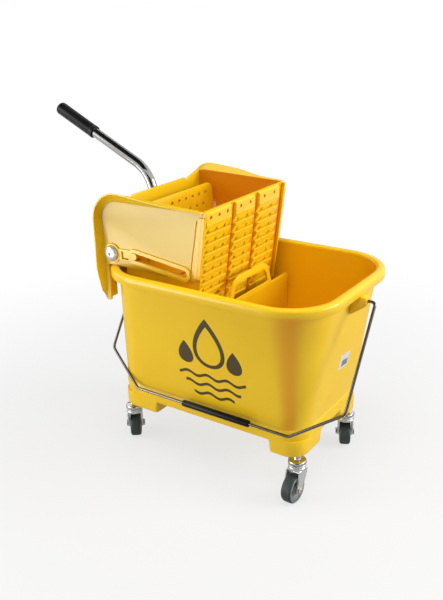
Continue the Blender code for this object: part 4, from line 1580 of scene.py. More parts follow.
    def inner_parts(self) -> list[Mesh]:
        """Make what holds the near cheek in the tub: apron, turned-in rear edge and pads.

        Returns:
            Closed meshes.
        """
        inner, low, high = -self.cheek_in, self.leg[1], self.rim_z + self.apron_rise
        inset = self.wall_t + self.gap
        apron = Form.across([[(self.front_x(low) - inset, low), (self.front_x(high) - inset, high),
                              (self.apron_x, high), (self.apron_x, low)]],
                            inner - self.apron_t[0], inner + self.apron_t[1])
        x0, x1 = (self.cheek_x0 + turn for turn in self.turn_x)
        edge = Form.prism([[(x0, inner - self.sunk), (x1, inner - self.sunk), (x1, -self.turn_y),
                            (x0, -self.turn_y)]], low + self.turn_z[0], self.turn_z[1])
        reach = Tub.wall.half_at(self.pad_z[0]) - Tub.thick - self.pad_gap
        low, high = self.pad_z
        pads = [Form.across([[(x, low), (x + self.pad_w, low), (x + self.pad_w, high), (x, high)]],
                            -reach, inner + self.sunk) for x in self.pad_x]
        return [apron, edge] + pads

    def cheek(self, side: Side) -> None:
        """Build one cheek with its flange, slotted rib, post and leg.

        Args:
            side: Side of the wringer.
        """
        out, outside = -self.cheek_out, self.cut_y[0]
        body = Form.combine(self.plate(), self.trims() + self.inner_parts(), Cut.JOIN)
        slot = Form.stadium(self.slot_start, self.slot_end(), self.slot_r)
        cuts = [Form.across([self.on_front(self.furrow)], outside, out + self.furrow_left),
                Form.across([slot], *self.cut_y),
                Form.across([Form.circle(*self.shaft, self.shaft_r, sides=48)], *self.cut_y),
                Form.across([self.recess], outside, out + self.recess_left)]
        body = Form.mirrored(Form.combine(body, cuts, Cut.TAKE), side)
        self.add(body, "cheek_" + side.label, "wringer", "wringer_cheek_" + side.label, Slot.PLASTIC,
                 self.kit.palette.wringer)

    def half(self) -> float:
        """Return half of the width between the cheeks, less the gap."""
        return self.cheek_in - self.gap

    def in_columns(self, outline: list[Pair]) -> Mesh:
        """Return the outline extruded over each column of the front wall."""
        least = self.column_gap - self.half()
        return Form.joined([Form.across([outline], max(y0, least), y1) for y0, y1, _ in self.columns])

    def louvres(self) -> list[Mesh]:
        """Make the raised heads of the columns and the rows of ledges below them.

        Returns:
            The heads and the ledges.
        """
        top = self.front_top[1] - self.first
        foot = top - self.pitch + self.gap
        high = self.front_top[1] - self.head_drop[0]
        low_x, mid_x, high_x = self.head_x
        x = self.front_x(top)
        tooth = [(x - self.sunk, top)] + [(x + self.ledge + dx, top + dz) for dx, dz in self.ledge_edge]
        tooth += self.on_front(((foot, self.ledge_foot), (foot, -self.sunk)))
        teeth = self.kit.rows.bake(self.in_columns(tooth), {
            "Count": self.rows, "Step": (-self.pitch * self.lean, 0.0, -self.pitch),
            "Finish": self.kit.palette.wringer})
        head = self.on_front(((top - self.gap, -self.sunk), (top - self.gap, low_x),
                              (high - self.head_drop[1], mid_x), (high, high_x), (high, -self.sunk)))
        return [self.in_columns(head), teeth]

    def drains(self) -> list[Mesh]:
        """Make the tools for the drain holes: a large one in each head and small ones below it.

        Returns:
            The large and the small holes.
        """
        top = self.front_top[1]
        heights = [top - self.first - line * self.pitch + self.small_rise for line in range(1, self.rows - 1)]
        across = [y0 + (y1 - y0) * (k + 0.5) / count for y0, y1, count in self.columns for k in range(count)]
        holes = []
        for levels, (radius, sides) in (([top - self.large_drop], self.large), (heights, self.small)):
            points = [(self.front_x(z), y, z) for y in across for z in levels]
            holes.append(self.kit.studs.stand(points, radius, self.drill, Euler((0.0, QUARTER, 0.0)), sides,
                                              self.kit.palette.wringer))
        return holes

    def front_wall(self) -> None:
        """Build the leaning wall with its rows of ledges and drain holes."""
        low, high, thick = self.leg[1], self.front_top[1], self.wall_t
        outline = self.on_front(((low, -thick), (low, 0.0), (high, 0.0), (high, -thick)))
        base = Form.across([outline], -self.half(), self.half())
        body = Form.combine(base, self.louvres(), Cut.JOIN)
        body = Form.combine(body, self.drains(), Cut.TAKE)
        self.add(body, "front_wall", "wringer", "wringer_front_wall", Slot.PLASTIC, self.kit.palette.wringer)

    def rear_wall(self) -> None:
        """Build the plain rear wall with a notch beside each raised corner."""
        low, high = self.rear_z
        corner = self.cheek_top(self.rear_x[0]) - self.rear_drop
        edges = []
        for side, drop in zip(Side, self.notch_drop):
            levels = (corner, high - self.notch_step, high - drop, high)
            edges.append([(side.value * y, z) for y, z in zip((self.half(), *self.notch_y), levels)])
        near, far = edges
        outline = [(-self.half(), low), (self.half(), low)] + far + near[::-1]
        body = Form.softened(Form.along([outline], *self.rear_x), self.rear_soft)
        self.add(body, "rear_wall", "wringer", "wringer_rear_wall", Slot.PLASTIC, self.kit.palette.plain)

    def build(self) -> None:
        """Build every piece of the wringer."""
        for side in Side:
            self.cheek(side)
        self.front_wall()
        self.rear_wall()
        # The drained floor takes the deeper orange that paints the shade inside the wringer.
        self.dress("wringer_basket_floor", self.kit.palette.drain)


@dataclass
class Press(Assembly):
    """Perforated press plate and its brackets."""

    half_w: float = 0.112
    top: Pair = (-0.1130, 0.4680)
    lean: float = 0.0875
    foot_z: float = 0.3250
    thick: float = 0.004
    corners: tuple[float, ...] = (0.004, 0.004, 0.013, 0.013)
    soft: float = 0.0008
    pitch: float = 0.0200
    rows: int = 5
    columns: int = 10
    first: float = 0.0150
    hole: tuple[float, int] = (0.0033, 20)
    drill: float = 0.020

    def build(self) -> None:
        """Build the plate, upright at first and then leaning, and dress the brackets."""
        half, height = self.half_w, self.top[1] - self.foot_z
        outline = Form.rounded([(-half, 0.0), (half, 0.0), (half, height), (-half, height)], self.corners)
        points = []
        for row in range(self.rows):
            count = self.columns - row % 2
            points += [(-self.thick / 2, (k - (count - 1) / 2) * self.pitch,
                        height - self.first - row * self.pitch) for k in range(count)]
        radius, sides = self.hole
        holes = self.kit.studs.stand(points, radius, self.drill, Euler((0.0, QUARTER, 0.0)), sides,
                                     self.kit.palette.plain)
        plate = Form.softened(Form.along([outline], -self.thick, 0.0), self.soft)
        plate = Form.combine(plate, [holes], Cut.TAKE)
        for v in plate.vertices:
            v.co.x += self.top[0] + height * self.lean - v.co.z * self.lean
            v.co.z += self.foot_z
        self.add(plate, "press_plate_shell", "press", "press_plate", Slot.PLASTIC, self.kit.palette.plain)
        for side in Side:
            self.dress("press_bracket_" + side.label, self.kit.palette.plain)


@dataclass
class Lever(Assembly):
    """Bent tube lever with its grip, cross shaft, caps and cranks."""

    shaft: Pair = (-0.1570, 0.3870)
    shaft_r: float = 0.008
    reach: float = 0.1255
    tube_r: float = 0.0088
    bend: Pair = (-0.1640, 0.5005)
    bend_r: float = 0.062
    grip_start: Pair = (-0.2915, 0.5618)
    tip: Pair = (-0.3780, 0.6038)
    tube_short: float = 0.010
    grip_r: float = 0.0116
    grip_gap: float = 0.0002
    grip_round: Pair = (0.0065, 0.0062)
    grip_short: float = 0.0012
    grip_wall: float = 0.0085
    collar: Pairs = ((0.0003, 0.0100), (0.0003, 0.0078), (0.0, 0.0072), (0.0, 0.0012), (0.0008, 0.0002),
                     (0.0014, 0.0))
    cap_gap: float = 0.0003
    cap_profile: Pairs = ((0.0, 0.0), (0.0132, 0.0), (0.0135, 0.0004), (0.0135, 0.0020), (0.0131, 0.0028),
                          (0.0120, 0.0040), (0.0100, 0.0049), (0.0070, 0.0055), (0.0046, 0.0057),
                          (0.0040, 0.0058), (0.0, 0.0058))
    socket_r: float = 0.0032
    socket_z: Pair = (0.0025, 0.0100)

    def build(self) -> None:
        """Build the tube, grip and caps and dress the cranks."""
        start = Vector(self.grip_start)
        heading = (Vector(self.tip) - start).normalized()
        end = Vector(self.tip) - heading * self.tube_short
        path = Form.rounded([self.shaft, self.bend, tuple(end)], (0.0, self.bend_r, 0.0), count=22)
        tube = Form.sweep([Vector((x, 0.0, z)) for x, z in path], self.tube_r, resolution=10)
        x, z = self.shaft
        shaft = Form.rod((x, -self.reach, z), (x, self.reach, z), self.shaft_r, sides=40)
        # The tube takes the darkened steel that paints its dark reflection.
        self.add(Form.combine(shaft, [tube], Cut.JOIN), "lever_tube", "lever", "lever_frame", Slot.STEEL,
                 self.kit.palette.rod)
        self.grip(start, heading)
        for side in Side:
            self.cap(side)
            # The cranks take the darkened steel that paints a dark reflection.
            self.dress("crank_" + side.label, self.kit.palette.rod)

    def grip(self, start: Vector, heading: Vector) -> None:
        """Build the black sleeve on the lever's end.

        Args:
            start: Where it begins, in X and Z.
            heading: Where it points, in X and Z.
        """
        length = (Vector(self.tip) - start).length
        r, bore, end = self.grip_r, self.tube_r + self.grip_gap, length - self.grip_short
        deep, high = self.grip_round
        profile = [(0.0, end)]
        profile += [(r - deep + deep * math.sin(a), end - high * (1 - math.cos(a)))
                    for a in Form.steps(0.0, QUARTER, count=6)]
        profile += Form.edge(r, 0.0, self.collar)
        profile += [(bore, 0.0), (bore, length - self.grip_wall), (0.0, length - self.grip_wall)]
        body = Form.lathe(profile, sides=56)
        body.transform(Form.towards(Vector((heading.x, 0, heading.y))))
        body.transform(Matrix.Translation((start.x, 0, start.y)))
        self.add(body, "lever_sleeve", "lever", "lever_grip", Slot.GRIP, self.kit.palette.grip)

    def cap(self, side: Side) -> None:
        """Build one round bolted cap with its hexagon socket.

        Args:
            side: Side of the lever's shaft.
        """
        socket = Form.prism([Form.circle(0.0, 0.0, self.socket_r, sides=6)], *self.socket_z)
        body = Form.combine(Form.lathe(self.cap_profile, sides=48), [socket], Cut.TAKE)
        x, z = self.shaft
        place = Matrix.Translation((x, side.value * (self.reach + self.cap_gap), z))
        body.transform(place @ Matrix.Rotation(-side.value * QUARTER, 4, "X"))
        self.add(body, "cap_" + side.label, "lever", "pivot_cap_" + side.label, Slot.STEEL,
                 self.kit.palette.zinc)


@dataclass
class Bail(Assembly):
    """Bent wire bail with a sleeve grip on its straight run."""

    x: Pair = (-0.1980, 0.2720)
    flat_x: Pair = (-0.1180, 0.1910)
    shoulder: float = 0.180
    reach: float = 0.238
    stand: float = 0.1268
    end_gap: float = 0.0005
    bends: tuple[float, ...] = (0.0, 0.006, 0.014, 0.014, 0.014, 0.014, 0.006, 0.0)
    wire_r: float = 0.0025
    sharp: float = 50.0
    grip_x: Pair = (-0.0160, 0.1170)
    grip_r: float = 0.0058
    grip_gap: float = 0.0001
    grip_edge: Pairs = ((0.0012, 0.0), (0.0004, 0.0004), (0.0, 0.0014))

    def build(self) -> None:
        """Build the wire and the sleeve."""
        left, right = self.x
        points = [(Tub.rim.x1 + self.end_gap, 0.0), (right, 0.0), (right, self.shoulder),
                  (self.flat_x[1], self.reach), (self.flat_x[0], self.reach), (left, self.shoulder),
                  (left, 0.0), (Tub.rim.x0 - self.end_gap, 0.0)]
        lean = math.asin(self.stand / self.reach)
        down = Vector((0.0, -math.sin(lean), -math.cos(lean)))
        path = Form.rounded(points, self.bends, count=12)
        chain = [Vector((x, 0.0, Tub.bail_z)) + down * s for x, s in path]
        # The wire takes the darkened steel that paints its dark reflection.
        self.add(Form.sweep(chain, self.wire_r, resolution=6), "bail_rod", "bail", "bail_wire", Slot.STEEL,
                 self.kit.palette.wire, self.sharp)
        r, bore = self.grip_r, self.wire_r + self.grip_gap
        length = self.grip_x[1] - self.grip_x[0]
        profile = [(bore, 0.0)] + Form.edge(r, 0.0, self.grip_edge)
        profile += [(r - inset, length - rise) for inset, rise in reversed(self.grip_edge)] + [(bore, length)]
        body = Form.lathe(profile, sides=40, closed=True)
        centre = Vector((self.grip_x[0], 0.0, Tub.bail_z)) + down * self.reach
        body.transform(Matrix.Translation(centre) @ Matrix.Rotation(QUARTER, 4, "Y"))
        self.add(body, "bail_sleeve", "bail", "bail_grip", Slot.GRIP, self.kit.palette.grip)


@dataclass
class Divider(Assembly):
    """Lift-out panel with an arched handle, which wedges between the tub's tapered walls."""

    x: float = 0.0425
    thick: float = 0.003
    low_z: float = 0.1310
    top_z: float = 0.3130
    half: float = 0.1260
    gap: float = 0.0003
    lift: float = 0.001
    chamfer: float = 0.004
    arch_half: float = 0.068
    arch_z: float = 0.3560
    arch_in: float = 0.015
    band: float = 0.012
    corners: tuple[float, ...] = (0.004, 0.0, 0.0, 0.006, 0.004, 0.028)
    hole_rise: float = 0.004
    hole_in: float = 0.010
    hole_corners: Pair = (0.004, 0.017)
    soft: float = 0.0007

    def build(self) -> None:
        """Build the panel."""
        wall = Tub.wall
        low_half = wall.low.half - Tub.thick - self.gap
        slope = (wall.top_z - wall.low_z) / (wall.top.half - wall.low.half)
        wedge_z = wall.low_z + (self.half - low_half) * slope
        right = [(low_half - self.chamfer, self.low_z), (low_half, wall.low_z + self.lift),
                 (self.half, wedge_z + self.lift), (self.half, self.top_z), (self.arch_half, self.top_z),
                 (self.arch_half - self.arch_in, self.arch_z)]
        inner = self.arch_half - self.band
        hole = [(inner, self.top_z + self.hole_rise), (inner - self.hole_in, self.arch_z - self.band)]
        plans = []
        for edge, radii in ((right, self.corners), (hole, self.hole_corners)):
            plans.append(Form.rounded(edge + [(-y, z) for y, z in reversed(edge)], radii + radii[::-1]))
        body = Form.along(plans, self.x - self.thick / 2, self.x + self.thick / 2)
        self.add(Form.softened(body, self.soft), "divider_panel", "divider", "divider", Slot.PLASTIC,
                 self.kit.palette.plain)


@dataclass
class Caster(Assembly):
    """Swivel caster: stem and cap, fork, bolt, hub and tyre.

    An edge is a chain of (inset, rise) pairs from the radius and the height that it belongs to. The head of
    the bolt is given by radius, thickness and rounding.
    """

    name: str = ""
    x: float = 0.0
    y: float = 0.0
    yaw: float = 0.0
    # Wheel
    ground_z: float = 0.0055
    wheel_r: float = 0.0250
    wheel_flat: float = math.cos(math.pi / 18)
    tyre_w: float = 0.0195
    tyre_round: Pair = (0.0040, 0.0050)
    tyre_foot: Pairs = ((0.0, 0.0010), (0.0006, 0.0004))
    sidewall: float = 0.85
    trail: float = 0.0135
    # Stem and cap
    cap_r: float = 0.0155
    cap_z: float = 0.0735
    cap_edge: Pairs = ((0.0020, 0.0), (0.0006, 0.0004), (0.0, 0.0015), (0.0, 0.0042), (0.0008, 0.0056),
                       (0.0028, 0.0066))
    stem_r: float = 0.0060
    stem_neck: Pairs = ((-0.0006, 0.0070), (0.0, 0.0074))
    # Fork with its race
    fork_t: float = 0.0022
    fork_z: float = 0.0655
    fork_gap: float = 0.0016
    fork_top: Pairs = ((-0.0125, 0.0), (0.0105, 0.0), (0.0095, -0.010))
    fork_end: Pairs = ((0.0085, -0.003), (0.0, -0.0090), (-0.0080, 0.0))
    fork_round: tuple[float, ...] = (0.0, 0.0, 0.003, 0.003, 0.005, 0.003)
    channel_round: Pair = (0.0012, 0.0030)
    past: float = 0.05
    race_in: float = 0.0005
    race_edge: Pairs = ((0.0, -0.0010), (0.0, 0.0022), (0.0006, 0.0030), (0.0006, 0.0038), (0.0, 0.0046))
    race_top: Pairs = ((0.0, -0.0012), (0.0015, 0.0))
    gap: float = 0.0003
    # Bolt
    bolt_r: float = 0.0032
    bolt_hole_r: float = 0.0034
    bolt_past: float = 0.0030
    head: Point = (0.0060, 0.0034, 0.0004)
    # Hub
    rim_r: float = 0.0180
    hub_in: float = 0.0010
    hub_dish: float = 0.0045
    hub_bore: Pairs = ((0.0033, 0.0), (0.0070, 0.0), (0.0075, -0.0005))
    hub_flat: Pairs = ((0.0085, 0.0006), (0.0095, 0.0))
    hub_rise: Pairs = ((0.0042, 0.0), (0.0030, 0.0008))
    hub_rim: Pairs = ((0.0012, -0.0003), (0.0, 0.0))

    def give(self, mesh: Mesh, piece: str, node: str, body: str, slot: Slot, finish: Material) -> Mesh:
        """Hand over one piece of this caster.

        Args:
            mesh: Closed mesh.
            piece: Kind of piece.
            node: Kind of CAD node it stands for.
            body: Body it moves with.
            slot: Material slot of the record.
            finish: Material.

        Returns:
            The finished piece's mesh.
        """
        return self.add(mesh, f"{piece}_{self.name}", body, f"caster_{node}_{self.name}", slot, finish)

    def build(self) -> None:
        """Build the five pieces of the caster."""
        turn = Matrix.Translation((self.x, self.y, 0)) @ Matrix.Rotation(math.radians(self.yaw), 4, "Z")
        axle = Vector((-self.trail, 0.0, self.ground_z + self.wheel_r))
        lay = turn @ Matrix.Translation(axle) @ Matrix.Rotation(QUARTER, 4, "X")
        self.stem()
        self.fork(turn, axle)
        self.bolt(turn @ Matrix.Translation(axle))
        self.hub(lay)
        self.tyre(lay)

    def stem(self) -> None:
        """Build the fixed stem and its cap."""
        z, top = self.cap_z, Tub.foot_z - self.gap
        profile = [(0.0, z)] + Form.edge(self.cap_r, z, self.cap_edge)
        profile += Form.edge(self.stem_r, z, self.stem_neck) + [(self.stem_r, top), (0.0, top)]
        body = Form.lathe(profile, sides=40)
        body.transform(Matrix.Translation((self.x, self.y, 0)))
        self.give(body, "stem", "stem", "tub", Slot.STEEL, self.kit.palette.steel)

    def channel(self, axle: Vector) -> Mesh:
        """Make the bent channel of the fork.

        Args:
            axle: Middle of the axle.

        Returns:
            The closed channel.
        """
        z, inner = self.fork_z, self.tyre_w / 2 + self.fork_gap
        outer, web = inner + self.fork_t, z - self.fork_t
        side = [(x, z + rise) for x, rise in self.fork_top]
        side += [(axle.x + dx, axle.z + dz) for dx, dz in self.fork_end]
        section = [(-outer, 0.0), (-inner, 0.0), (-inner, web), (inner, web), (inner, 0.0), (outer, 0.0),
                   (outer, z), (-outer, z)]
        within, around = self.channel_round
        radii = (0.0, 0.0, within, within, 0.0, 0.0, around, around)
        long = Form.along([Form.rounded(section, radii, count=6)], -self.past, self.past)
        arm = Form.across([Form.rounded(side, self.fork_round, count=6)], -self.past, self.past)
        return Form.combine(long, [arm], Cut.KEEP)

    def fork(self, turn: Matrix, axle: Vector) -> None:
        """Build the channel that carries the wheel, with its race.

        Args:
            turn: Place and heading of the caster.
            axle: Middle of the axle before the turn.
        """
        z, r, top = self.fork_z, self.cap_r - self.race_in, self.cap_z - self.gap
        edge = Form.edge(r, z, self.race_edge) + Form.edge(r, top, self.race_top)
        race = Form.lathe([(0.0, edge[0][1])] + edge + [(0.0, top)], sides=40)
        out = Vector((0, self.past, 0))
        hole = Form.rod(axle - out, axle + out, self.bolt_hole_r, sides=24)
        body = Form.combine(self.channel(axle), [race], Cut.JOIN)
        body = Form.combine(body, [hole], Cut.TAKE)
        body.transform(turn)
        self.give(body, "fork", "fork", "swivel_" + self.name, Slot.STEEL, self.kit.palette.zinc)

    def bolt(self, place: Matrix) -> None:
        """Build the axle bolt with a hexagon head and nut.

        Args:
            place: Place and heading of the axle's middle.
        """
        radius, thick, soft = self.head
        out = self.tyre_w / 2 + self.fork_gap + self.fork_t + self.gap
        end = out + self.bolt_past
        rod = Form.rod((0, -end, 0), (0, end, 0), self.bolt_r, sides=24)
        middles = [(0.0, side.value * (out + thick / 2), 0.0) for side in Side]
        heads = self.kit.studs.stand(middles, radius, thick, Euler((QUARTER, 0.0, 0.0)), 6,
                                     self.kit.palette.steel)
        body = Form.combine(rod, [Form.softened(heads, soft)], Cut.JOIN)
        body.transform(place)
        self.give(body, "bolt", "axle", "swivel_" + self.name, Slot.STEEL, self.kit.palette.steel)

    @staticmethod
    def ring(half: list[Pair], sides: int) -> Mesh:
        """Return a turned ring with two like faces from half of its profile."""
        return Form.lathe([(r, -z) for r, z in half] + half[::-1], sides, closed=True)

    def hub(self, lay: Matrix) -> None:
        """Build the dished hub.

        Args:
            lay: Place and heading of the wheel's axis.
        """
        w, rim = self.tyre_w / 2 - self.hub_in, self.rim_r
        dish = w - self.hub_dish
        half = [(r, w + rise) for r, rise in self.hub_bore] + [(r, dish + rise) for r, rise in self.hub_flat]
        half += Form.edge(rim, dish, self.hub_rise) + Form.edge(rim, w, self.hub_rim)
        hub = self.ring(half, sides=48)
        hub.transform(lay)
        self.give(hub, "hub", "hub", "wheel_" + self.name, Slot.HUB, self.kit.palette.hub)

    def tyre(self, lay: Matrix) -> None:
        """Build the round-shouldered tyre with its paler side walls.

        Args:
            lay: Place and heading of the wheel's axis.
        """
        w, low, r = self.tyre_w / 2, self.rim_r + self.gap, self.wheel_r * self.wheel_flat
        deep, wide = self.tyre_round
        half = [(low + rise, w - inset) for rise, inset in self.tyre_foot]
        half += [(r - deep + deep * math.sin(a), w - wide * (1 - math.cos(a)))
                 for a in Form.steps(0.0, QUARTER, count=6)]
        tyre = self.ring(half, sides=64)
        flat = [abs(face.normal.z) > self.sidewall for face in tyre.polygons]
        tyre.transform(lay)
        tyre = self.give(tyre, "tyre", "tyre", "wheel_" + self.name, Slot.TYRE, self.kit.palette.tyre)
        tyre.materials.append(self.kit.palette.sidewall)
        tyre.polygons.foreach_set("material_index", flat)


@dataclass
class Studio:
    """Pale floor, soft lamps, white surroundings and the camera."""

    shift: Vector
    yaw: float = 0.6058
    pitch: float = 0.3775
    roll: float = -0.0239
    focal_px: float = 767.41
    photo_px: float = 600.0
    sensor_mm: float = 36.0
    nearest: float = 0.05
    eye: Point = (0.7040, -1.0437, 0.7905)
    aim: Point = (0.05, 0.0, 0.28)
    floor_half: float = 40.0
    floor_grey: Colour = (0.62, 0.62, 0.62, 1.0)
    floor_dim: float = 0.40
    floor_white: float = 0.72
    floor_near: Pair = (0.30, 1.10)
    floor_far: Pair = (0.70, 1.30)
    fill: float = 0.16
    card_grey: Colour = (0.02, 0.02, 0.02, 1.0)
    card_rough: float = 0.9

    @staticmethod
    def sheet(name: str, w: float, h: float, stand: Matrix, finish: Material) -> bpy.types.Object:
        """Stage a flat rectangle.

        Args:
            name: Object name.
            w: Half of its width.
            h: Half of its height.
            stand: Place and heading.
            finish: Material.

        Returns:
            The new object.
        """
        mesh = bpy.data.meshes.new(name)
        mesh.from_pydata([(-w, -h, 0), (w, -h, 0), (w, h, 0), (-w, h, 0)], [], [(0, 1, 2, 3)])
        mesh.transform(stand)
        mesh.materials.append(finish)
        obj = bpy.data.objects.new(name, mesh)
        bpy.context.scene.collection.objects.link(obj)
        return obj

    def floor(self) -> None:
        """Lay the floor, which keeps a pale shadow."""
        made, recipe = Recipe.finish("floor_finish")
        x, y, _ = recipe.split(recipe.place())
        reach = (x * x + y * y).root()
        matt = recipe.node("ShaderNodeBsdfDiffuse", None, {"Color": self.floor_grey})
        glow, dim = (recipe.node("ShaderNodeEmission", None, {"Color": WHITE, "Strength": strength})
                     for strength in (1.0, self.floor_dim))
        camera, glossy, through = recipe.rays()
        mirrored = glossy | through
        base = recipe.mixed(mirrored, matt, dim)
        seen = camera * (self.floor_white + reach.span(*self.floor_near) * (1.0 - self.floor_white))
        both = recipe.mixed(seen | mirrored * reach.span(*self.floor_far), base, glow)
        recipe.node("ShaderNodeOutputMaterial", None, {"Surface": both.outputs[0]})
        self.sheet("floor", self.floor_half, self.floor_half, Matrix.Identity(4), made)

    def surroundings(self) -> None:
        """Make the world white to the eye and in reflections, and dimmer as a light."""
        world = bpy.data.worlds.new("studio")
        bpy.context.scene.world = world
        world.use_nodes = True
        recipe = Recipe(world.node_tree)
        camera, glossy, through = recipe.rays()
        fill, white = (recipe.node("ShaderNodeBackground", None, {"Color": WHITE, "Strength": strength})
                       for strength in (self.fill, 1.0))
        both = recipe.mixed(camera | glossy | through, fill, white)
        recipe.node("ShaderNodeOutputWorld", None, {"Surface": both.outputs[0]})

    def facing(self, place: Point) -> Matrix:
        """Return the stand of something at a place that looks at the bucket."""
        turn = (Vector(self.aim) - Vector(place)).to_track_quat("-Z", "Y")
        return Matrix.Translation(place) @ turn.to_matrix().to_4x4()

    def lamp(self, name: str, place: Point, size: Pair, watts: float, shines: bool = True) -> None:
        """Hang a soft rectangular lamp that looks at the bucket.

        Args:
            name: Lamp name.
            place: Where it hangs.
            size: Width and height.
            watts: Power.
            shines: Whether it shows in reflections.
        """
        data = bpy.data.lights.new(name, "AREA")
        data.shape = "RECTANGLE"
        data.size, data.size_y = size
        data.energy = watts
        obj = bpy.data.objects.new(name, data)
        obj.matrix_world = self.facing(place)
        obj.visible_camera = False
        obj.visible_glossy = shines
        bpy.context.scene.collection.objects.link(obj)

    def card(self, name: str, place: Point, size: Pair) -> None:
        """Stand up a dark card that only reflections show.

        Args:
            name: Card name.
            place: Where its middle is.
            size: Width and height.
        """
        made, recipe = Recipe.finish(name + "_finish")
        recipe.surface({"Base Color": self.card_grey, "Roughness": self.card_rough})
        obj = self.sheet(name, size[0] / 2, size[1] / 2, self.facing(place), made)
        for ray in ("camera", "diffuse", "shadow", "transmission", "volume_scatter"):
            setattr(obj, "visible_" + ray, False)

    def camera(self) -> None:
        """Set the camera where the photograph was taken from."""
        level = math.cos(self.pitch)
        ahead = Vector((-math.sin(self.yaw) * level, math.cos(self.yaw) * level, -math.sin(self.pitch)))
        right = Vector((math.cos(self.yaw), math.sin(self.yaw), 0.0))
        up = right.cross(ahead)
        c, s = math.cos(self.roll), math.sin(self.roll)
        right, up = right * c + up * s, up * c - right * s
        turn = Matrix((right, up, -ahead)).transposed().to_4x4()
        data = bpy.data.cameras.new("photo_camera")
        data.lens = self.focal_px * self.sensor_mm / self.photo_px
        data.clip_start = self.nearest
        obj = bpy.data.objects.new("photo_camera", data)
        obj.matrix_world = Matrix.Translation(Vector(self.eye) + self.shift) @ turn
        bpy.context.scene.collection.objects.link(obj)
        bpy.context.scene.camera = obj

    def build(self) -> None:
        """Set up the whole studio."""
        self.floor()
        self.surroundings()
        self.lamp("end", (1.85, 0.75, 0.95), (1.0, 1.0), 32.0)
        self.lamp("left", (-1.75, -1.35, 1.20), (1.3, 1.2), 16.5)
        self.lamp("top", (0.45, -0.45, 2.30), (1.3, 1.3), 33.0, False)
        self.lamp("low", (-0.62, -0.98, 0.12), (0.60, 0.40), 5.6)
        self.card("dark_card", (1.20, -1.90, 0.95), (2.0, 1.8))
        self.card("dark_ceiling", (-0.30, -0.60, 2.80), (3.4, 4.0))
        self.card("dark_back", (-1.90, 2.30, 1.40), (2.2, 1.6))
        self.camera()
        bpy.context.scene.view_settings.view_transform = "Standard"


def drawing_shift() -> Vector:
    """Return the move from the drawing frame to the row frame, read from two CAD nodes."""
    return Vector((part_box("wringer_rear_wall")[0].x - Wringer.rear_x[0], 0.0,
                   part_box("tub")[1].z - Tub.rim_z))


def tub_marks() -> tuple[Mark, ...]:
    """Place the marks of the tub by its sizes.

    Returns:
        The painted shade at the corners and inside, the print and the sticker.
    """
    wall, skin = Tub.wall, Tub.thick / 2
    sides = Taper(wall.low_z, wall.low.inset(skin), wall.top_z, wall.top.inset(skin))
    # Painted shade on the inner faces of the tub.
    hollow = PaintedHollowShade(sides, Tub.floor_z - skin)
    return PaintedCornerShade(wall), hollow, DropMotif(wall), BlankSticker(wall)


def wringer_marks() -> tuple[Mark, ...]:
    """Place the marks of the wringer by its sizes.

    Returns:
        The painted shade on its cheeks, inside it and between its front wall's columns, and the painted light
        on the ledges.
    """
    # Deeper orange, painted as shade inside the wringer and between the front wall's columns.
    tint = (0.810, 0.215, 0.002, 1.0)
    skin, corner, floor = Wringer.wall_t / 2, 0.0005, 0.2400
    (top_x, top_z), low_z = Wringer.front_top, Wringer.leg[1]
    low_x = top_x - (top_z - low_z) * Wringer.lean
    low, top = (Section(Wringer.rear_x[0] + skin, x - skin, Wringer.cheek_in + Wringer.sunk, corner)
                for x in (low_x, top_x))
    hollow = PaintedHollowShade(Taper(low_z, low, top_z, top), floor, tint)
    return PaintedPanelShade(), hollow, PaintedGrooveShadeAndLedgeLight(Wringer.front_top, Wringer.lean, tint)


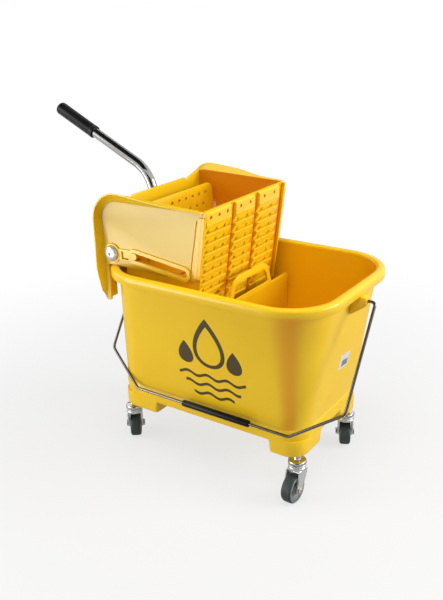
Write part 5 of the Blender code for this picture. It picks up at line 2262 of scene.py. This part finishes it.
def mixed_palette(shift: Vector) -> Palette:
    """Make all materials.

    Args:
        shift: Move from the drawing frame to the row frame, which places the marks.

    Returns:
        The palette.
    """
    finishes = {
        "tub": Plastic("tub_plastic", shift, marks=tub_marks()),
        "wringer": Plastic("wringer_plastic", shift, marks=wringer_marks()),
        "plain": Plastic("press_plastic", shift),
        # Deeper orange copy of the yellow plastic for the wringer's drained floor, painted shade of the
        # wringer's inside.
        "drain": Plastic("drain_plastic_painted_shade", shift, (0.880, 0.460, 0.004, 1.0), (0.850, 0.400, 0.003, 1.0),
                         (0.900, 0.520, 0.020, 1.0), rough=0.50, gloss=0.15, coat=0.0),
        "steel": Steel("bright_steel_finish", (0.68, 0.67, 0.65, 1.0), (0.46, 0.44, 0.41, 1.0), 0.10),
        "zinc": Steel("zinc_finish", (0.74, 0.74, 0.72, 1.0), (0.58, 0.57, 0.55, 1.0), 0.20, 0.6, 0.65),
        # Bright steel darkened in colour for the lever's tube, cranks and the bail's wire, a painted dark
        # reflection.
        "rod": Steel("rod_steel_painted_dark_reflection", (0.42, 0.41, 0.39, 1.0), (0.34, 0.33, 0.31, 1.0), 0.09, 0.05),
        "wire": Steel("wire_finish", (0.17, 0.16, 0.15, 1.0), (0.12, 0.11, 0.10, 1.0), 0.14, 0.05),
        "grip": Rubber("black_grip_finish", (0.005, 0.005, 0.005, 1), (0.012, 0.012, 0.011, 1), 0.36, 0.22),
        "tyre": Rubber("tyre_finish", (0.030, 0.044, 0.043, 1), (0.075, 0.085, 0.080, 1), 0.55),
        "sidewall": Rubber("sidewall_finish", (0.180, 0.205, 0.200, 1), (0.26, 0.27, 0.26, 1), 0.50),
        "hub": Rubber("hub_finish", (0.230, 0.240, 0.235, 1), (0.32, 0.31, 0.29, 1), 0.45)}
    return Palette(**{name: finish.material() for name, finish in finishes.items()})


def main() -> None:
    """Build the studio and every sub-assembly in order, and report each piece."""
    logging.basicConfig(level=logging.INFO, format="%(message)s")
    shift = drawing_shift()
    kit = Kit(shift, mixed_palette(shift), RepeatTree(), StudTree())
    Studio(shift).build()
    assemblies = [Tub(kit), Wringer(kit), Press(kit), Lever(kit), Bail(kit), Divider(kit)]
    for name, x, y, yaw in (("near_left", -0.1615, -0.0915, -52.0), ("near_right", 0.1885, -0.0915, 88.0),
                            ("far_left", -0.1615, 0.0915, -30.0), ("far_right", 0.1885, 0.0915, -62.0)):
        assemblies.append(Caster(kit, name, x, y, yaw))
    for assembly in assemblies:
        assembly.build()
        for piece in assembly.pieces:
            LOG.info("%s: %s", type(assembly).__name__, piece)


if __name__ == "__main__":
    main()
